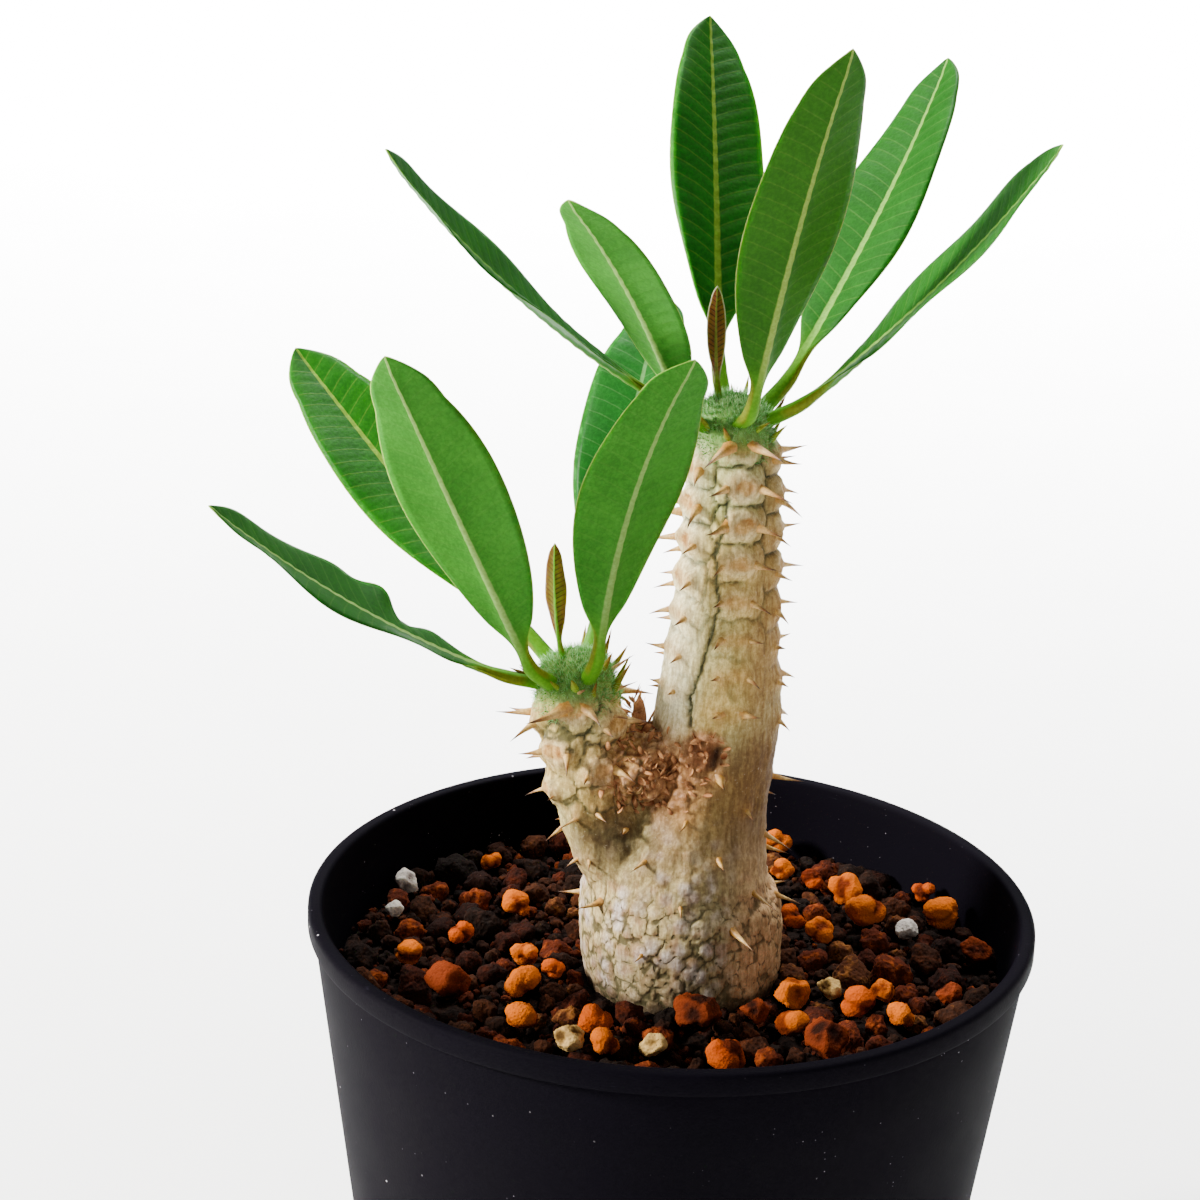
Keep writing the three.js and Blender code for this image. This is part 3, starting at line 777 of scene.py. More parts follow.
def make_pellet(node, finish, slot, nodules, seed, angular):
    """A knobbly pellet, or an angular chip, in the space of its CAD node."""
    bare()
    bpy.ops.mesh.primitive_ico_sphere_add(subdivisions=4, radius=MM)
    piece = named(node.replace("pellet", "grain").replace("lump", "clod"))
    way = unit(points(piece))
    draw = random.Random(seed)
    if angular:
        reach = chipped(way, draw, 13, (0.62, 0.95), 0.12, 1.2)
        reach = reach + 0.1 * grain(way, 0.35, seed) + 0.05 * grain(way, 0.15, seed)
        low = reach
    else:
        blend = 14  # how sharply the nodules part
        total = np.full(len(way), 0.62**blend)
        for _ in range(nodules):
            lean = unit([draw.uniform(-1, 1) for _ in range(3)]) * draw.uniform(0.42, 0.6)
            size = draw.uniform(0.5, 0.66)
            part = way @ lean
            room = size**2 - lean @ lean + part**2
            here = np.where(room > 0, part + np.sqrt(np.maximum(room, 0)), 0.01)
            total += np.maximum(here, 0.01) ** blend
        reach = total ** (1 / blend)
        low = reach + 0.1 * grain(way, 0.5, seed)
        reach = reach + 0.08 * grain(way, 0.3, seed) + 0.045 * grain(way, 0.12, seed)
    spots = way * reach[:, None]
    a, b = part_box(node)
    centre, half = np.array((a + b) / 2) / MM, np.array((b - a) / 2) / MM
    span_low, span_high = spots.min(0), spots.max(0)
    spots = (spots - (span_low + span_high) / 2) / ((span_high - span_low) / 2)
    grow = np.array((1.08, 1.08, 1.05))
    place(piece, centre + spots * half * grow)
    # How high each point stands: the finish paints the high places as highlight and the low ones as
    # shade.
    deep = (low - low.min()) / max(low.max() - low.min(), 1e-6)
    note(piece, "along", deep)
    note(piece, "tone", np.full(len(way), draw.random()))
    sewn(piece)
    return shown(piece, finish, slot, node)


def make_loose():
    orange = [
        pellet_finish("orange_clay", "3c0e00", "803400", "a44e00", 0.3),
        pellet_finish("rust_clay", "2c0a00", "702400", "943c00", 0.4),
    ]
    chips = {
        "straw_pellet": pellet_finish("speckled_stone", "33200a", "745424", "b4945a", 0.9),
        "white_pellet": pellet_finish("pale_stone", "3c3230", "7c746e", "a8a098", 0.3),
        "brown_lump": pellet_finish("brown_clay", "120400", "341004", "602408", 0.6),
    }
    for i, node in enumerate(sorted(LOOSE)):
        slot, number = node.rsplit("_", 1)
        seed = 60 + i
        if slot in chips:
            make_pellet(node, chips[slot], slot, 0, seed, angular=True)
        else:
            number = int(number)
            nodules = 1 if number in (12, 20) else 5 + i % 3
            finish = orange[number % 3 == 0]
            make_pellet(node, finish, slot, nodules, seed, angular=number in (19, 22))


# ---- Bark and spines ----


def merged_copy(node, name):
    original = frame["nodes"][node]
    copy = original.copy()
    copy.data = original.data.copy()
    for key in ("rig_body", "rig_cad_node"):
        del copy[key]
    copy.parent = None
    copy.name = copy.data.name = name
    bpy.context.scene.collection.objects.link(copy)
    copy.data.materials.clear()
    edit(copy)
    bpy.ops.mesh.remove_doubles(threshold=1e-6)
    bpy.ops.object.mode_set(mode="OBJECT")
    return copy


def edges_of(piece):
    flat = np.empty(len(piece.data.edges) * 2, np.int32)
    piece.data.edges.foreach_get("vertices", flat)
    return flat.reshape(-1, 2)


def spine_records(piece):
    """The sharp tips on the CAD bark, with the middle of each spine's foot."""
    spots, pairs = points(piece), edges_of(piece)
    way = unit(spots[pairs[:, 1]] - spots[pairs[:, 0]])
    pull, count = np.zeros_like(spots), np.zeros(len(spots))
    np.add.at(pull, pairs[:, 0], way)
    np.add.at(pull, pairs[:, 1], -way)
    np.add.at(count, pairs.ravel(), 1)
    sharp = np.linalg.norm(pull, axis=1) / np.maximum(count, 1) > 0.9
    foot = np.zeros_like(spots)
    np.add.at(foot, pairs[:, 0], spots[pairs[:, 1]])
    np.add.at(foot, pairs[:, 1], spots[pairs[:, 0]])
    foot /= np.maximum(count, 1)[:, None]
    stalk = np.linalg.norm(spots - STALK_TIP, axis=1) < 2.0
    spines = [(foot[i], spots[i]) for i in np.flatnonzero(sharp & ~stalk)]
    return sharp, spines


def scar_middles(spines):
    """Between the two spines of each pair lies a leaf scar."""
    feet = np.array([f for f, _ in spines])
    apart = np.linalg.norm(feet[:, None] - feet[None], axis=2)
    apart += 3 * np.abs(feet[:, None, 2] - feet[None, :, 2]) + 99 * np.eye(len(feet))
    nearest = apart.argmin(1)
    return np.array([
        (feet[i] + feet[j]) / 2
        for i, j in enumerate(nearest)
        if nearest[j] == i and i < j and apart[i, j] < 4.6
    ])


def two_nearest(spots, targets):
    """Distances from each spot to the nearest target and to the next."""
    lots = len(spots) * len(targets) // 4000000 + 1  # so that no one table grows too large
    found = [
        np.partition(np.linalg.norm(part[:, None] - targets[None], axis=2), 1, axis=1)[:, :2]
        for part in np.array_split(spots, lots)
    ]
    return np.concatenate(found).T


def to_line(spots, ends):
    """Distances to the stretch between two points."""
    a, b = ends
    share = np.clip((spots - a) @ (b - a) / ((b - a) @ (b - a)), 0, 1)
    return np.linalg.norm(spots - a - share[:, None] * (b - a), axis=1)


def bark_body():
    """The CAD bark without its spines, with the fork's heap grown in, and the spines' places."""
    piece = merged_copy("caudex", "bark")
    sharp, spines = spine_records(piece)
    pick(piece, sharp)
    bpy.ops.mesh.delete(type="VERT")
    bpy.ops.mesh.select_all(action="SELECT")
    bpy.ops.mesh.fill_holes(sides=0)
    bpy.ops.mesh.select_all(action="SELECT")
    bpy.ops.mesh.normals_make_consistent(inside=False)
    bpy.ops.object.mode_set(mode="OBJECT")
    bare()
    bpy.ops.mesh.primitive_ico_sphere_add(subdivisions=4, radius=MM)
    heap = named("heap")
    place(heap, np.array(DRY_HEAP[0]) + points(heap) * DRY_HEAP[1])
    piece.select_set(True)
    bpy.context.view_layer.objects.active = piece
    bpy.ops.object.join()
    modified(piece, "REMESH", mode="VOXEL", voxel_size=BARK_VOXEL, use_smooth_shade=True)
    modified(piece, "SMOOTH", factor=0.5, iterations=14)
    return piece, spines


def make_bark():
    piece, spines = bark_body()
    spots, out = points(piece), outward(piece)
    height = spots[:, 2] - LEVEL
    scars = scar_middles(spines)
    feet = np.array([f for f, _ in spines])
    stem_axis = np.interp(height, [0, 12, 30, 45, 70], [1.5, 0.9, 4.3, 4.7, 4.6])
    branch_axis = np.interp(height, [10, 18, 28, 38, 44], [-1.2, -6.8, -10.6, -12.7, -13.6])
    off_stem, off_branch = np.abs(spots[:, 0] - stem_axis), np.abs(spots[:, 0] - branch_axis)
    on_branch = smooth(off_stem - off_branch, -0.5, 1.5) * smooth(height, 14, 19)
    wool = np.maximum(
        smooth(height, 67.0, 70.5) * (1 - on_branch),
        smooth(height - 0.18 * (spots[:, 0] + 12.7), 35.6, 38.6) * on_branch,
    )
    # Cushions round the leaf scars, which are highest on the young wood.
    young = np.maximum(smooth(height, 34, 62), on_branch * smooth(height, 18, 26))
    near, far = two_nearest(warped(spots, 0.5, 1.6, (1, 5, 9)), scars)
    cushion = np.exp(-((near / 2.4) ** 4)) * (0.12 + 0.6 * young)
    crease = smooth(far - near, 0.62, 0.08) * smooth(near, 1.2, 1.9) * (1 - wool)
    crease *= smooth(grain(spots, 5.5, 3), -0.42, -0.1)
    crease *= 0.15 + 0.85 * young
    # The deep dark fissure down the front of the stem, and fine cracks on the branch.
    upright = spots * (0, 0, 1)
    path = np.interp(height, *zip(*FISSURE))
    path += 0.35 * grain(upright, 1.1, 3) + 0.2 * grain(upright, 0.5, 1)
    split = smooth(np.abs(spots[:, 0] - path), 0.42, 0.1) * (spots[:, 1] < 0)
    split *= smooth(height, 31, 36) * smooth(height, 66, 64) * (1 - on_branch)
    crease = np.maximum(crease * smooth(near, 1.2, 1.7), split)
    crazed = cells(warped(spots, 0.3, 1.1, (3, 7, 4)) * (1, 1, 0.8), 2.3, 6.5)
    weathered = on_branch * smooth(height, 18, 24) * (1 - wool)
    weathered *= smooth(grain(spots, 4, 6), -0.35, -0.05) * smooth(near, 1.2, 1.6)
    crazed_gap = crazed[:, 1] - crazed[:, 0]
    craze = smooth(crazed_gap, 0.2, 0.08) * weathered
    shield = smooth(near, 1.3, 0.8)
    ring = bump_at(near - 1.5, 0.35) * young
    spine_gap = two_nearest(spots, feet)[0]
    stub = bump_at(spine_gap, 0.95)
    # Pebbly plates on the swollen foot, which run out into long wrinkles above it.
    bulb = smooth(height, 25, 11) * (1 - 0.6 * on_branch)
    plates = cells(warped(spots, 0.35, 1.2, (2, 6, 8)) * (1, 1, 0.95), 2.0, 4.0)
    plates_gap = plates[:, 1] - plates[:, 0]
    seam = smooth(plates_gap, 0.17, 0.05)
    small = cells(spots, 0.95, 9.0)
    small_gap = small[:, 1] - small[:, 0]
    wrinkle = 1 - np.abs(grain(spots * (1, 1, 0.16), 0.85, 2.0)) * 2.2
    folds = 1 - np.abs(grain(spots * (1, 1, 0.28), 1.7, 6.0)) * 2
    # Litter grown in at the fork, and the torn scar to its right.
    fork = patch(spots, FORK, (7.0, 8, 5.4), 4)
    clods = cells(spots, 1.15, 2.5)
    scarred = patch(spots, SCAR, (2.7, 4, 2.6), 6)
    recess = bump_at(to_line(spots, SCAR_GAP), 0.5 + 0.25 * grain(spots, 0.8, 2))
    flap = bump_at(to_line(spots, SCAR_FLAP), 0.6)
    # How far the bark stands out, in millimetres.
    lift = 0.85 * cushion - 0.36 * crease - 0.07 * craze * (1 - crease) + 0.16 * ring
    lift += shield * young * (0.35 * grain(spots, 0.8, 14) - 0.08)
    lift += 0.55 * stub * (0.5 + 0.5 * young)
    lift += bulb * (0.05 * (1 - smooth(plates[:, 0], 0.25, 0.7)) - 0.12 * seam)
    lift += bulb * 0.03 * (1 - small[:, 0])
    lift += (1 - bulb) * (0.1 * wrinkle + 0.16 * folds * (1 - young))
    lift -= (1 - bulb) * 0.05 * smooth(small_gap, 0.14, 0.02)
    lift += 0.3 * grain(spots, 6, 8) + 0.16 * grain(spots, 2.3, 1) + 0.05 * grain(spots, 0.7, 4)
    lift += fork * (1.1 * (1 - clods[:, 0]) - 0.3 + 0.7 * grain(spots, 2.2, 12))
    lift += scarred * (0.5 * grain(spots * (1, 1, 1.4), 0.9, 5) - 0.25) + 0.75 * flap - 0.9 * recess
    lift *= smooth(height, -6, 0)
    place(piece, spots + out * (lift * (1 - 0.75 * wool))[:, None])
    # Coats of colour, from the ground up: each with how much of it shows.
    low = grain(spots, 7, 2) * 0.5 + 0.5
    fine = grain(spots, 1.1, 3) * 0.5 + 0.5
    # Painted highlight: the stem's left side, which faces the key light, is painted near white,
    # over bark that is a paler cream there.
    pale = smooth(stem_axis - spots[:, 0], 1.5, 5.5) * smooth(height, 28, 36) * (1 - on_branch)
    # Painted shade: the stem's right side, away from the key light, is painted a darker brown.
    painted_shade_right = smooth(spots[:, 0] - stem_axis, 1.5, 5.0) * smooth(height, 12, 24) * (1 - on_branch)
    neck = smooth(height, 14, 19) * smooth(height, 38, 30) * (1 - on_branch)
    silver = smooth(plates[:, 0], 0.62, 0.3) * smooth(grain(spots, 5, 5), -0.35, 0.25)
    silver *= smooth(spots[:, 0], 10, 4)
    # Painted shade: a dark patch on the bark under the branch.
    under_branch_shade = patch(spots, BRANCH_SHADE, (5.4, 9, 4.2), 3)
    coats = (
        (smooth(low, 0.35, 0.7) * 0.8, "f1e7a0"),
        ((1 - young) * smooth(fine, 0.5, 0.8) * 0.5, "93823f"),
        (smooth(wrinkle, 0.45, 0.05) * 0.45 * (1 - bulb), "917f42"),
        (smooth(height, 52, 66) * 0.75 * (1 - on_branch), "a4ac70"),
        (smooth(grain(spots, 4, 11), 0.05, 0.4) * 0.4 * young, "7d8a40"),
        # painted highlight on the stem's left side
        (pale * (0.62 + 0.38 * fine), "fffad2"),
        # painted shade on the stem's right side
        (painted_shade_right * 0.62, "94683a"),
        (neck * (0.55 + 0.4 * low), "6c4824"),
        (smooth(cushion, 0.25, 0.7) * 0.75 * young, "f4e8b4"),
        (ring * 0.35, "c89a50"),
        (shield * (0.2 + 0.55 * young), "ba8434"),
        (shield * young * smooth(fine, 0.45, 0.75) * 0.8, "8c5414"),
        (stub * 0.55, "b8884a"),
        (bulb * 0.75, "cab688"),
        (bulb * silver * 0.72, "e6dce0"),
        (bulb * smooth(grain(spots, 1.5, 21), 0.12, 0.4) * 0.55, "a87c5c"),
        (bulb * smooth(height, 10, 1) * 0.65, "7c6c58"),
        (bulb * seam * 0.5, "4e482a"),
        (bulb * smooth(small_gap, 0.12, 0.02) * 0.35, "5c4e2c"),
        # painted fill light: the bulb's shaded right side is painted paler
        (bulb * smooth(spots[:, 0], 5, 10) * 0.7, "e0b080"),
        (on_branch * (1 - young * shield) * 0.25, "8c6430"),
        # painted shade under the branch
        (under_branch_shade * (0.84 + 0.14 * fine), "362206"),
        (np.maximum(crease, craze * 0.5) * 0.95, "1c2a10"),
        (fork * (0.45 + 0.4 * fine), "b87c4c"),
        (fork * smooth(clods[:, 0], 0.36, 0.1) * 0.7, "e4b898"),
        (fork * smooth(clods[:, 1] - clods[:, 0], 0.18, 0.03) * 0.65, "5c2c12"),
        (scarred * (0.6 + 0.4 * fine), "784628"),
        (flap * 0.75, "d49a70"),
        (recess * 0.9, "24120a"),
        (wool * 0.85, "4c8c34"),
        (smooth(height, 1.4, 0.2) * 0.75, "3a2a1a"),
    )
    paint = np.tile(ink("d8be74")[:3], (len(spots), 1))
    for share, code in coats:
        paint += (np.array(ink(code)[:3]) - paint) * np.clip(share, 0, 1)[:, None]
    seam_gap = np.minimum(plates_gap + (1 - bulb) * 0.5, 0.75 * crazed_gap + 1 - weathered)
    note(piece, "seam_gap", seam_gap)
    note(piece, "paint", np.concatenate([paint, np.ones((len(paint), 1))], 1))
    take(piece)
    bpy.ops.object.shade_smooth()
    shown(piece, bark_finish(), "bark", "caudex")
    litter = np.flatnonzero((fork > 0.4) | (scarred > 0.5))
    return spines, [(spots[i], out[i]) for i in litter]


def make_spines(spines):
    """A spine on each of the CAD bark's spines, a little longer or shorter, and the thorns."""
    shape = thorn("spine", 1.5, 2.2, 1, 0.9)
    draw = random.Random(5)
    places = []
    for foot, tip in spines:
        way = unit(tip - foot)
        reach = np.linalg.norm(tip - foot) * draw.uniform(0.85, 1.15)
        base = foot - way * 0.2
        slim = 0.62 if foot[2] < LEVEL + 27 else 1
        width = 0.62 * slim * draw.uniform(0.85, 1.2) * (0.8 + 0.1 * reach)
        twist = draw.uniform(0, 6.3)
        places.append((0, standing(base, way, reach + 0.2, width, twist), draw.random()))
    for foot, tip in np.array(THORNS):
        way = unit(tip - foot)
        reach = np.linalg.norm(tip - foot) + 1.4
        width, twist = draw.uniform(0.62, 0.82), draw.uniform(0, 6.3)
        places.append((0, standing(foot - way * 1.2, way, reach, width, twist), 0.3))
    shown(strewn("spines", [shape], places), spine_finish(), "bark")


def crown_frame(crown):
    """A crown's middle, and its directions upwards, to the right and to the front."""
    axis = unit(crown["axis"])
    right = unit(np.cross((0, 1, 0), axis))
    return np.array(crown["centre"], float), axis, right, np.cross(axis, right)


def rooted(draw, spot, way, lengths, widths, turn=None):
    """A place for one copy, its length, width, turn and tone drawn between limits."""
    length, width = draw.uniform(*lengths), draw.uniform(*widths)
    twist = draw.uniform(0, turn) if turn else 0.0
    return 0, standing(spot, way, length, width, twist), draw.random()


def make_wool(name, crown, draw, count):
    """Felt over a crown's dome and a little way down its sides."""
    bare()
    bpy.ops.mesh.primitive_cone_add(
        vertices=3, radius1=MM, radius2=0, depth=MM, location=(0, 0, MM / 2)
    )
    piece = settle(named("strand"))
    note(piece, "along", points(piece)[:, 2])
    strand = shape_of(piece)
    centre, axis, right, front = crown_frame(crown)
    radius, rise = crown["radius"], crown["rise"]
    places = []
    for _ in range(count):
        a, s = draw.uniform(0, 2 * math.pi), draw.random()
        around = right * math.cos(a) + front * math.sin(a)
        if s < 0.34:
            drop = draw.uniform(0, 3.2)
            spot = centre - axis * drop + around * (radius + 0.08 * drop)
            out = around + axis * draw.uniform(-0.2, 0.8)
        else:
            lift = draw.random() ** 0.7
            level = math.sqrt(1 - lift * lift)
            spot = centre + axis * rise * lift + around * radius * level
            out = around * level + axis * (0.5 + lift)
        out = unit(out + np.array([draw.gauss(0, 0.45) for _ in range(3)]))
        places.append(rooted(draw, spot - out * 0.15, out, (0.5, 1.3), (0.03, 0.05)))
    return strewn(name, [strand], places)


def make_spikes(name, crown, draw, count, start):
    """Pointed stipules that stand round the leaves' feet."""
    shape = thorn("spike", 0.9, 0, 0.7, 0.7)
    centre, axis, right, front = crown_frame(crown)
    radius, rise = crown["radius"], crown["rise"]
    places = []
    for i in range(count):
        a = math.radians(start + 137.5 * i + draw.uniform(-10, 10))
        around = right * math.cos(a) + front * math.sin(a)
        lift = draw.uniform(-0.35, 0.55)
        level = math.sqrt(1 - max(lift, 0) ** 2) * 0.97
        spot = centre + axis * rise * lift + around * radius * level
        out = unit(around * 0.9 + axis * draw.uniform(0.6, 1.4))
        places.append(rooted(draw, spot - out * 0.4, out, (2.8, 5.2), (0.42, 0.62), 6))
    return strewn(name, [shape], places)


def make_dried(litter, draw):
    """Curled dry bracts and stubs round the old flower stalk in the fork."""
    def form(u, v):
        a = 2 * math.pi * u
        wide = np.maximum(np.sin(math.pi * np.clip(v * 0.85 + 0.12, 0, 1)) ** 0.8, 0.02)
        wide = np.where(v > 0.999, 0.0, wide)
        x = wide * np.cos(a)
        y = 0.22 * wide * np.sin(a) + 0.9 * v * v + 0.35 * x**2
        return np.stack([x, y, v], -1), {"along": v}

    shape = pattern("bract", 8, 7, form)
    places = []
    for _ in range(170):
        spot, out = draw.choice(litter)
        across = np.cross(out, unit([draw.gauss(0, 1) for _ in range(3)]))
        way = unit(out * draw.uniform(0.2, 0.8) + across)
        places.append(rooted(draw, spot - way * 0.1, way, (0.6, 1.7), (0.22, 0.5), 6))
    stalk = np.array((-4.9, -1.6, LEVEL + 30.0))
    stubs = (((-0.02, 0, 1), 7.2, 1.0), ((-0.5, 0.1, 1), 5.4, 0.7), ((0.3, 0.1, 1), 5.8, 0.6))
    for lean, length, width in stubs:
        places.append((0, standing(stalk, unit(lean), length, width, draw.uniform(0, 6)), 0.2))
    for _ in range(34):
        a, up = draw.uniform(0, 2 * math.pi), draw.uniform(0.5, 6.3)
        around = np.array((math.cos(a), math.sin(a), 0))
        spot = stalk + around * (0.9 - 0.09 * up) + (-0.12 * up, 0, up)
        out = unit(around * draw.uniform(0.6, 1.2) + (0, 0, draw.uniform(0.1, 1.1)))
        places.append(rooted(draw, spot, out, (1.2, 3.0), (0.14, 0.3), 6))
    return strewn("dried_bracts", [shape], places)


# ---- Leaves ----


ROUNDED = 0.86  # where along a leaf the rounding of its tip starts


def leaf_stations(node):
    """Reads a leaf's midline, edges and upper side from the rings of its CAD solid."""
    ruler = merged_copy(node, "ruler")
    spots, pairs = points(ruler), edges_of(ruler)
    bpy.data.objects.remove(ruler)
    joined = {}
    for a, b in pairs.tolist():
        joined.setdefault(a, set()).add(b)
        joined.setdefault(b, set()).add(a)
    hub = min(
        (np.array(c["centre"], float) for c in CROWNS.values()),
        key=lambda c: np.linalg.norm(spots - c, axis=1).min(),
    )
    tip = int(np.linalg.norm(spots - hub, axis=1).argmax())
    layers, seen = [[tip]], {tip}
    while len(layers) < 14:
        layer = sorted({n for i in layers[-1] for n in joined[i]} - seen)
        layers.append(layer)
        seen |= set(layer)
    rings = [spots[layer] for layer in reversed(layers[1:])]
    assert all(len(r) == 6 for r in rings), node
    middle = 6
    apart = np.linalg.norm(rings[middle][:, None] - rings[middle][None], axis=2)
    a, b = np.unravel_index(apart.argmax(), apart.shape)
    rest = [i for i in range(6) if i not in (a, b)]
    line = unit(rings[middle][b] - rings[middle][a])
    off = [np.linalg.norm(np.cross(rings[middle][i] - rings[middle][a], line)) for i in rest]
    order = np.argsort(off)
    upper, under = [rest[i] for i in order[:2]], [rest[i] for i in order[2:]]
    up = rings[middle][upper].mean(0) - rings[middle][under].mean(0)
    ahead = rings[middle + 1].mean(0) - rings[middle].mean(0)
    if np.cross(up, ahead) @ (rings[middle][a] - rings[middle][b]) < 0:
        a, b = b, a
    labels = {middle: [a, b, *upper, *under]}

    def offsets(k):
        o = rings[k] - rings[k].mean(0)
        return o / np.sqrt((o**2).sum(1).mean())

    for ks in (range(middle + 1, 13), range(middle - 1, -1, -1)):
        before = middle
        for k in ks:
            old, new = offsets(before)[labels[before]], offsets(k)
            gaps = np.linalg.norm(old[:, None] - new[None], axis=2)
            found = [-1] * 6
            for _ in range(6):
                i, j = np.unravel_index(gaps.argmin(), gaps.shape)
                found[i] = int(j)
                gaps[i, :] = gaps[:, j] = 99
            labels[k] = found
            before = k
    mid, side, up, half = [], [], [], []
    for k, ring in enumerate(rings):
        right, left, u1, u2, d1, d2 = ring[labels[k]]
        mid.append((right + left) / 2)
        side.append(unit(right - left))
        up.append(unit((u1 + u2) - (d1 + d2)))
        half.append(np.linalg.norm(right - left) / 2)
    mid.append(spots[tip])
    side.append(side[-1])
    up.append(up[-1])
    half.append(0.0)
    return np.array(mid), np.array(side), np.array(up), np.array(half)


def flowing(samples, t):
    """A smooth curve through evenly spaced samples; before the first it runs on straight."""
    last = len(samples) - 1
    s = np.clip(t, 0, 1) * last
    k = np.minimum(s.astype(int), last - 1)
    f = s - k
    f = f if samples.ndim == 1 else f[:, None]
    p0, p1 = samples[np.maximum(k - 1, 0)], samples[k]
    p2, p3 = samples[k + 1], samples[np.minimum(k + 2, last)]
    square, cube = 2 * p0 - 5 * p1 + 4 * p2 - p3, 3 * p1 - p0 - 3 * p2 + p3
    made = 0.5 * (2 * p1 + (p2 - p0) * f + square * f**2 + cube * f**3)
    if samples.ndim == 2:
        made = made + (samples[1] - samples[0]) * (np.minimum(t, 0) * last)[:, None]
    return made


def make_leaf(
    node, finish, cup, wave, waves, phase, curl=0.25, relief=0.05, young=False, notch=None,
    blunt=0.3,
):
    """A blade on its CAD leaf: cup in degrees, wave in millimetres, waves along its length."""
    mid, side, up, half = leaf_stations(node)
    length = np.linalg.norm(np.diff(mid, axis=0), axis=1).sum()
    sunk = 2.0 / length  # how far the leaf's foot runs on into the crown, as a share of its length
    scale = 0.42 if young else 1.0

    def form(u, v):
        t = v * (1 + sunk) - sunk
        s = np.where(u < 0.5, 1 - 4 * u, 4 * u - 3)
        x = np.sign(s) * np.abs(s) ** 1.3
        top = u < 0.5
        m, n = flowing(mid, t), unit(flowing(up, t))
        b = unit(flowing(side, t))
        h = np.maximum(flowing(half, t), 0) + 0.12 * scale * (1 - smooth(t, 0, 0.12))
        h = h * (0.78 if young else 1)
        last = np.clip((t - ROUNDED) / (1 - ROUNDED), 0, 0.9999)
        h = h * (1 + blunt * (np.sqrt(1 - last**2.2) / (1 - last) ** 0.9 - 1) * 0.6)
        h = np.where(v > 0.999, 0, h)
        stalk = 1 - smooth(t, 0.07, 0.2)
        ends = 1 - np.abs(x) ** 6
        reach = np.abs(x) * h
        oval = np.sqrt(np.maximum(1 - x * x, 0)) * h * 0.8
        rib_high = scale * (0.62 * np.maximum(1 - t, 0) ** 1.3 + 0.12)
        rib_wide = scale * (0.7 * (1 - np.clip(t, 0, 1)) + 0.28)
        rib = rib_high * bump_at(reach, rib_wide) * smooth(1 - t, 0, 0.06)
        blade_up = scale * 0.14 * ends - 0.1 * scale * bump_at(reach, rib_wide * 0.8)
        blade_down = scale * 0.12 * ends + rib
        turn = (t * length - 0.62 * reach + 0.035 * reach**2) / LEAF_PITCH
        pillow = relief * np.cos(2 * math.pi * turn) * np.clip(h - reach, 0, 1) * ends
        rise = np.where(top, blade_up, -blade_down) * (1 - stalk)
        rise = rise + np.where(top, 1, -1) * oval * stalk + pillow * (1 - stalk) ** 2
        bowl = math.tan(math.radians(cup)) * h * (np.sqrt(x * x + 0.01) - 1)
        bowl = bowl * (0.3 + 0.7 * (1 - stalk))
        flutter = wave * np.sin(2 * math.pi * (t * waves + phase) + 1.7 * (x > 0)) * x * x
        flutter = flutter * smooth(t, 0.12, 0.35) * smooth(1 - t, 0.0, 0.2)
        hem = -curl * np.abs(x) ** 5 * np.clip(h / 6, 0, 1)
        shift = 0
        if notch:
            where, sign, deep = notch
            shift = deep * bump_at(t - where, 0.045) * (x * sign > 0) * np.abs(x) ** 2
            pucker = 1.2 * np.sin((t - where) * 34) * bump_at(t - where, 0.12)
            flutter = flutter + pucker * (x * sign > 0) * x * x
        spots = m + b * (x * h * (1 - np.abs(shift) * 0.3))[:, None]
        spots = spots + n * (rise + bowl + flutter + hem)[:, None]
        notes = {
            "spot": np.stack([x * h, t * length, (1 - np.abs(x)) * h], -1),
            "upper_side": top.astype(float),
            "share": t,
        }
        return spots, notes

    around, along = (20, 40) if young else (32, 92)
    piece = wrapped(node + "_blade", around, along, form)
    sewn(piece, 3e-6)
    return shown(piece, finish, "young_leaf" if young else "leaf", node)


LEAF_LOOKS = {
    # Upper side dark and light, underside dark and light, rib, margin, and what else differs.
    "leaf_dark_green": ("0e4806", "226e0e", "1c600c", "327c16", "7c9e30", "8cb038", {"vein": 0.16}),
    "leaf_fresh_green": (
        "10440b", "1f6018", "18560f", "296c1a", "78a844", "94b848", {"vein": 0.12},
    ),
    "leaf_deep_green": (
        "0c3c08", "1c5810", "0e420c", "1c5c14", "7c9e50", "90b440", {"vein": 0.08, "rough": 0.6},
    ),
    "leaf_matt_green": (
        "24580e", "40781c", "205e14", "3e8424", "7c9e50", "90b440", {"vein": 0.08, "rough": 0.55},
    ),
    # A darker olive copy of the leaf green, painted shade for the upper crown's front leaf, which
    # stands in shade.
    "leaf_olive_painted_shade": (
        "1e4306", "37620c", "1e500a", "326814", "86a044", "96a048", {"vein": 0.12, "rough": 0.5},
    ),
    "leaf_blue_green": ("0a420c", "18641c", "1a6020", "2f7c30", "58884a", "6c9840", {"vein": 0.18}),
    "young_leaf_bronze": (
        "4c4a0a", "6e6a16", "4c4408", "6e6412", "5c9420", "7a3410",
        {"vein": 0.85, "foot": "4c9418", "shade": "5c1c04", "pitch": 0.6, "line_ink": "1c1004"},
    ),
    "young_leaf_red": (
        "5a1c0a", "7a3c18", "5c200c", "804a24", "74702c", "b8b4a4",
        {"vein": 0.85, "foot": "5a8a18", "pitch": 0.6, "line_ink": "200a04"},
    ),
}
YOUNG = {"curl": 0.1, "young": True}
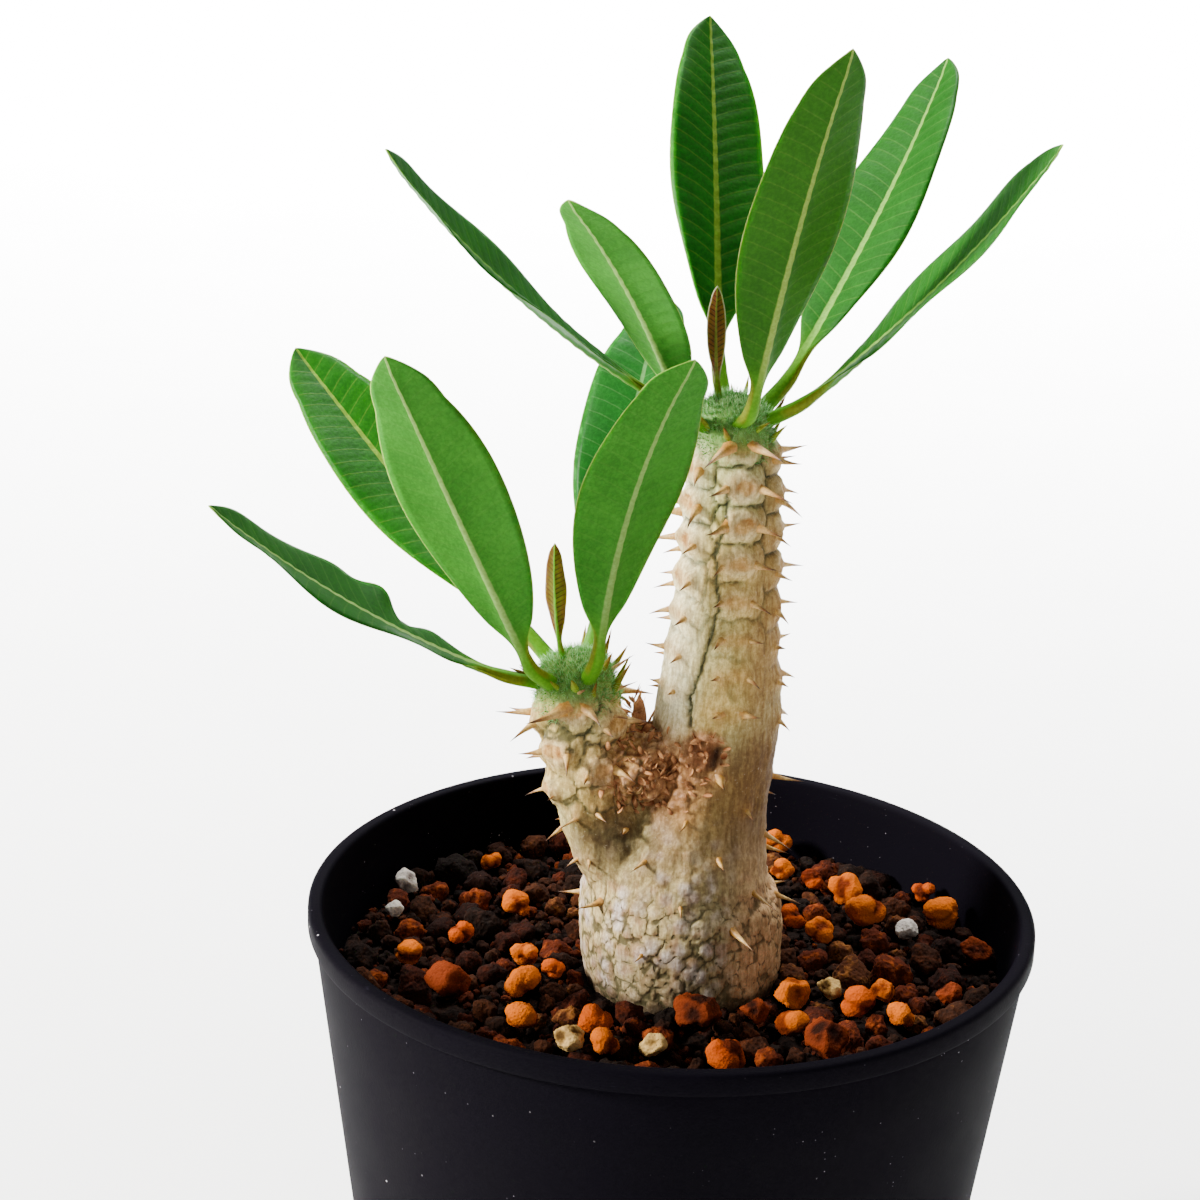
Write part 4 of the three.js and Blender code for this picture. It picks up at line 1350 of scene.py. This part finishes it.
LEAVES = (
    # Node, look, cup, wave, waves, phase, and what else differs.
    ("lower_leaf_left", "leaf_deep_green", 10, 0.5, 2.2, 0.1, {"notch": (0.4, -1, 0.9)}),
    ("lower_leaf_back_left", "leaf_dark_green", 12, 0.3, 2.4, 0.3, {"blunt": 0.55}),
    ("lower_leaf_front_left", "leaf_matt_green", 13, 0.3, 1.8, 0.6, {"blunt": 0.6}),
    ("lower_leaf_front_right", "leaf_matt_green", 10, 0.3, 2.1, 0.2, {"blunt": 0.6}),
    ("lower_leaf_back_right", "leaf_blue_green", 9, 0.35, 2.8, 0.8, {"blunt": 0.5}),
    ("upper_leaf_left", "leaf_fresh_green", 14, 0.35, 2.2, 0.0, {}),
    ("upper_leaf_front_left", "leaf_matt_green", 9, 0.3, 1.7, 0.5, {"blunt": 0.6}),
    ("upper_leaf_back", "leaf_dark_green", 9, 0.3, 2.6, 0.15, {"relief": 0.08, "blunt": 0.35}),
    # its olive look is painted shade
    ("upper_leaf_front", "leaf_olive_painted_shade", 11, 0.3, 2.0, 0.4, {}),
    ("upper_leaf_back_right", "leaf_fresh_green", 10, 0.35, 2.3, 0.7, {"blunt": 0.45}),
    ("upper_leaf_right", "leaf_fresh_green", 12, 0.3, 2.5, 0.9, {}),
    ("lower_young_leaf", "young_leaf_bronze", 16, 0.12, 3, 0.2, YOUNG),
    ("upper_young_leaf", "young_leaf_red", 14, 0.1, 3, 0.5, YOUNG),
)


def make_leaves():
    finishes = {}
    for name, (*shades, rib, margin, others) in LEAF_LOOKS.items():
        finishes[name] = leaf_finish(name, shades[:2], shades[2:], rib, margin, **others)
    for node, look, cup, wave, waves, phase, others in LEAVES:
        make_leaf(node, finishes[look], cup, wave, waves, phase, **others)


# ---- The plant ----

make_pot()
make_grit()
make_loose()
spines, litter = make_bark()
make_spines(spines)
draw = random.Random(17)
HAIRS, STIPULES = 3400, 15  # on each crown
felt = strand_finish("crown_felt", "2c8a18", "9cd088", 0.9)
for key, crown in CROWNS.items():
    shown(make_wool(key + "_crown_wool", crown, draw, HAIRS), felt, "bark")
stipule = strand_finish("stipule_green", "7c9a28", "6a4418", 0.6)
for (key, crown), start in zip(CROWNS.items(), (20, 200)):
    shown(make_spikes(key + "_stipules", crown, draw, STIPULES, start), stipule, "bark")
shown(make_dried(litter, draw), strand_finish("dried_bract", "6e3a1e", "c08a5c", 0.8), "bark")
make_leaves()


# ---- Floor, light and camera ----


def make_floor():
    bare()
    bpy.ops.mesh.primitive_circle_add(
        vertices=96, radius=1.8, fill_type="NGON", location=(0, 0, -0.2 * MM)
    )
    floor = named("studio_floor")
    f = Finish("pale_floor")
    cloud = f.grain(f.spots(), 60, 2)
    floor.data.materials.append(
        f.surface(f.blend(cloud, ink("f2f2f2"), ink("fbfbfb")), 0.7)
    )


def lamp(name, spot, aim, size, power, colour=(1, 1, 1), spread=180):
    light = bpy.data.lights.new(name, "AREA")
    light.shape, light.size, light.energy, light.color = "DISK", size, power, colour
    light.spread = math.radians(spread)
    holder = held(name, light)
    holder.location = spot
    holder.rotation_mode = "QUATERNION"
    holder.rotation_quaternion = (Vector(aim) - Vector(spot)).to_track_quat("-Z", "Y")


def make_studio():
    make_floor()
    lamp("key", (-0.66, -0.12, 0.4), (0, 0, 0.11), 0.15, 22.0, (1, 0.97, 0.91))
    lamp("fill", (0.3, -0.62, 0.36), (0, 0, 0.1), 0.4, 1.45, (1, 0.98, 0.95))
    lamp("backdrop", (0, 1.5, 1.2), (0, 1.45, 0), 2.0, 240.0, spread=84)
    for side, x, y in (("left", -1.5, 0), ("right", 1.5, 0), ("front", 0, -1.5)):
        lamp("floor_" + side, (x, y, 1.2), (x, y, 0), 1.6, 10.0, spread=84)
    world = bpy.data.worlds.new("studio")
    world.use_nodes = True
    tree = world.node_tree
    back = tree.nodes["Background"]
    back.inputs["Color"].default_value = (1, 1, 1, 1)
    # A weak glow on the plant, and a pale wall behind it.
    seen = tree.nodes.new("ShaderNodeLightPath")
    strength = tree.nodes.new("ShaderNodeMapRange")
    strength.inputs["To Min"].default_value = 0.12
    strength.inputs["To Max"].default_value = 7.0
    tree.links.new(seen.outputs["Is Camera Ray"], strength.inputs["Value"])
    tree.links.new(strength.outputs["Result"], back.inputs["Strength"])
    bpy.context.scene.world = world


def make_camera():
    seat, aim = Vector((0, -317.26, 226.75)) * MM, Vector((-10.15, 0, 116.86)) * MM
    camera = bpy.data.cameras.new("camera")
    camera.lens, camera.sensor_width = 84, 36
    camera.clip_start, camera.clip_end = 0.01, 20
    holder = held("camera", camera)
    holder.location = seat
    holder.rotation_mode = "QUATERNION"
    tilt = Quaternion((0, 0, 1), math.radians(1.995))
    holder.rotation_quaternion = (aim - seat).to_track_quat("-Z", "Y") @ tilt
    bpy.context.scene.camera = holder


make_studio()
make_camera()
bare()
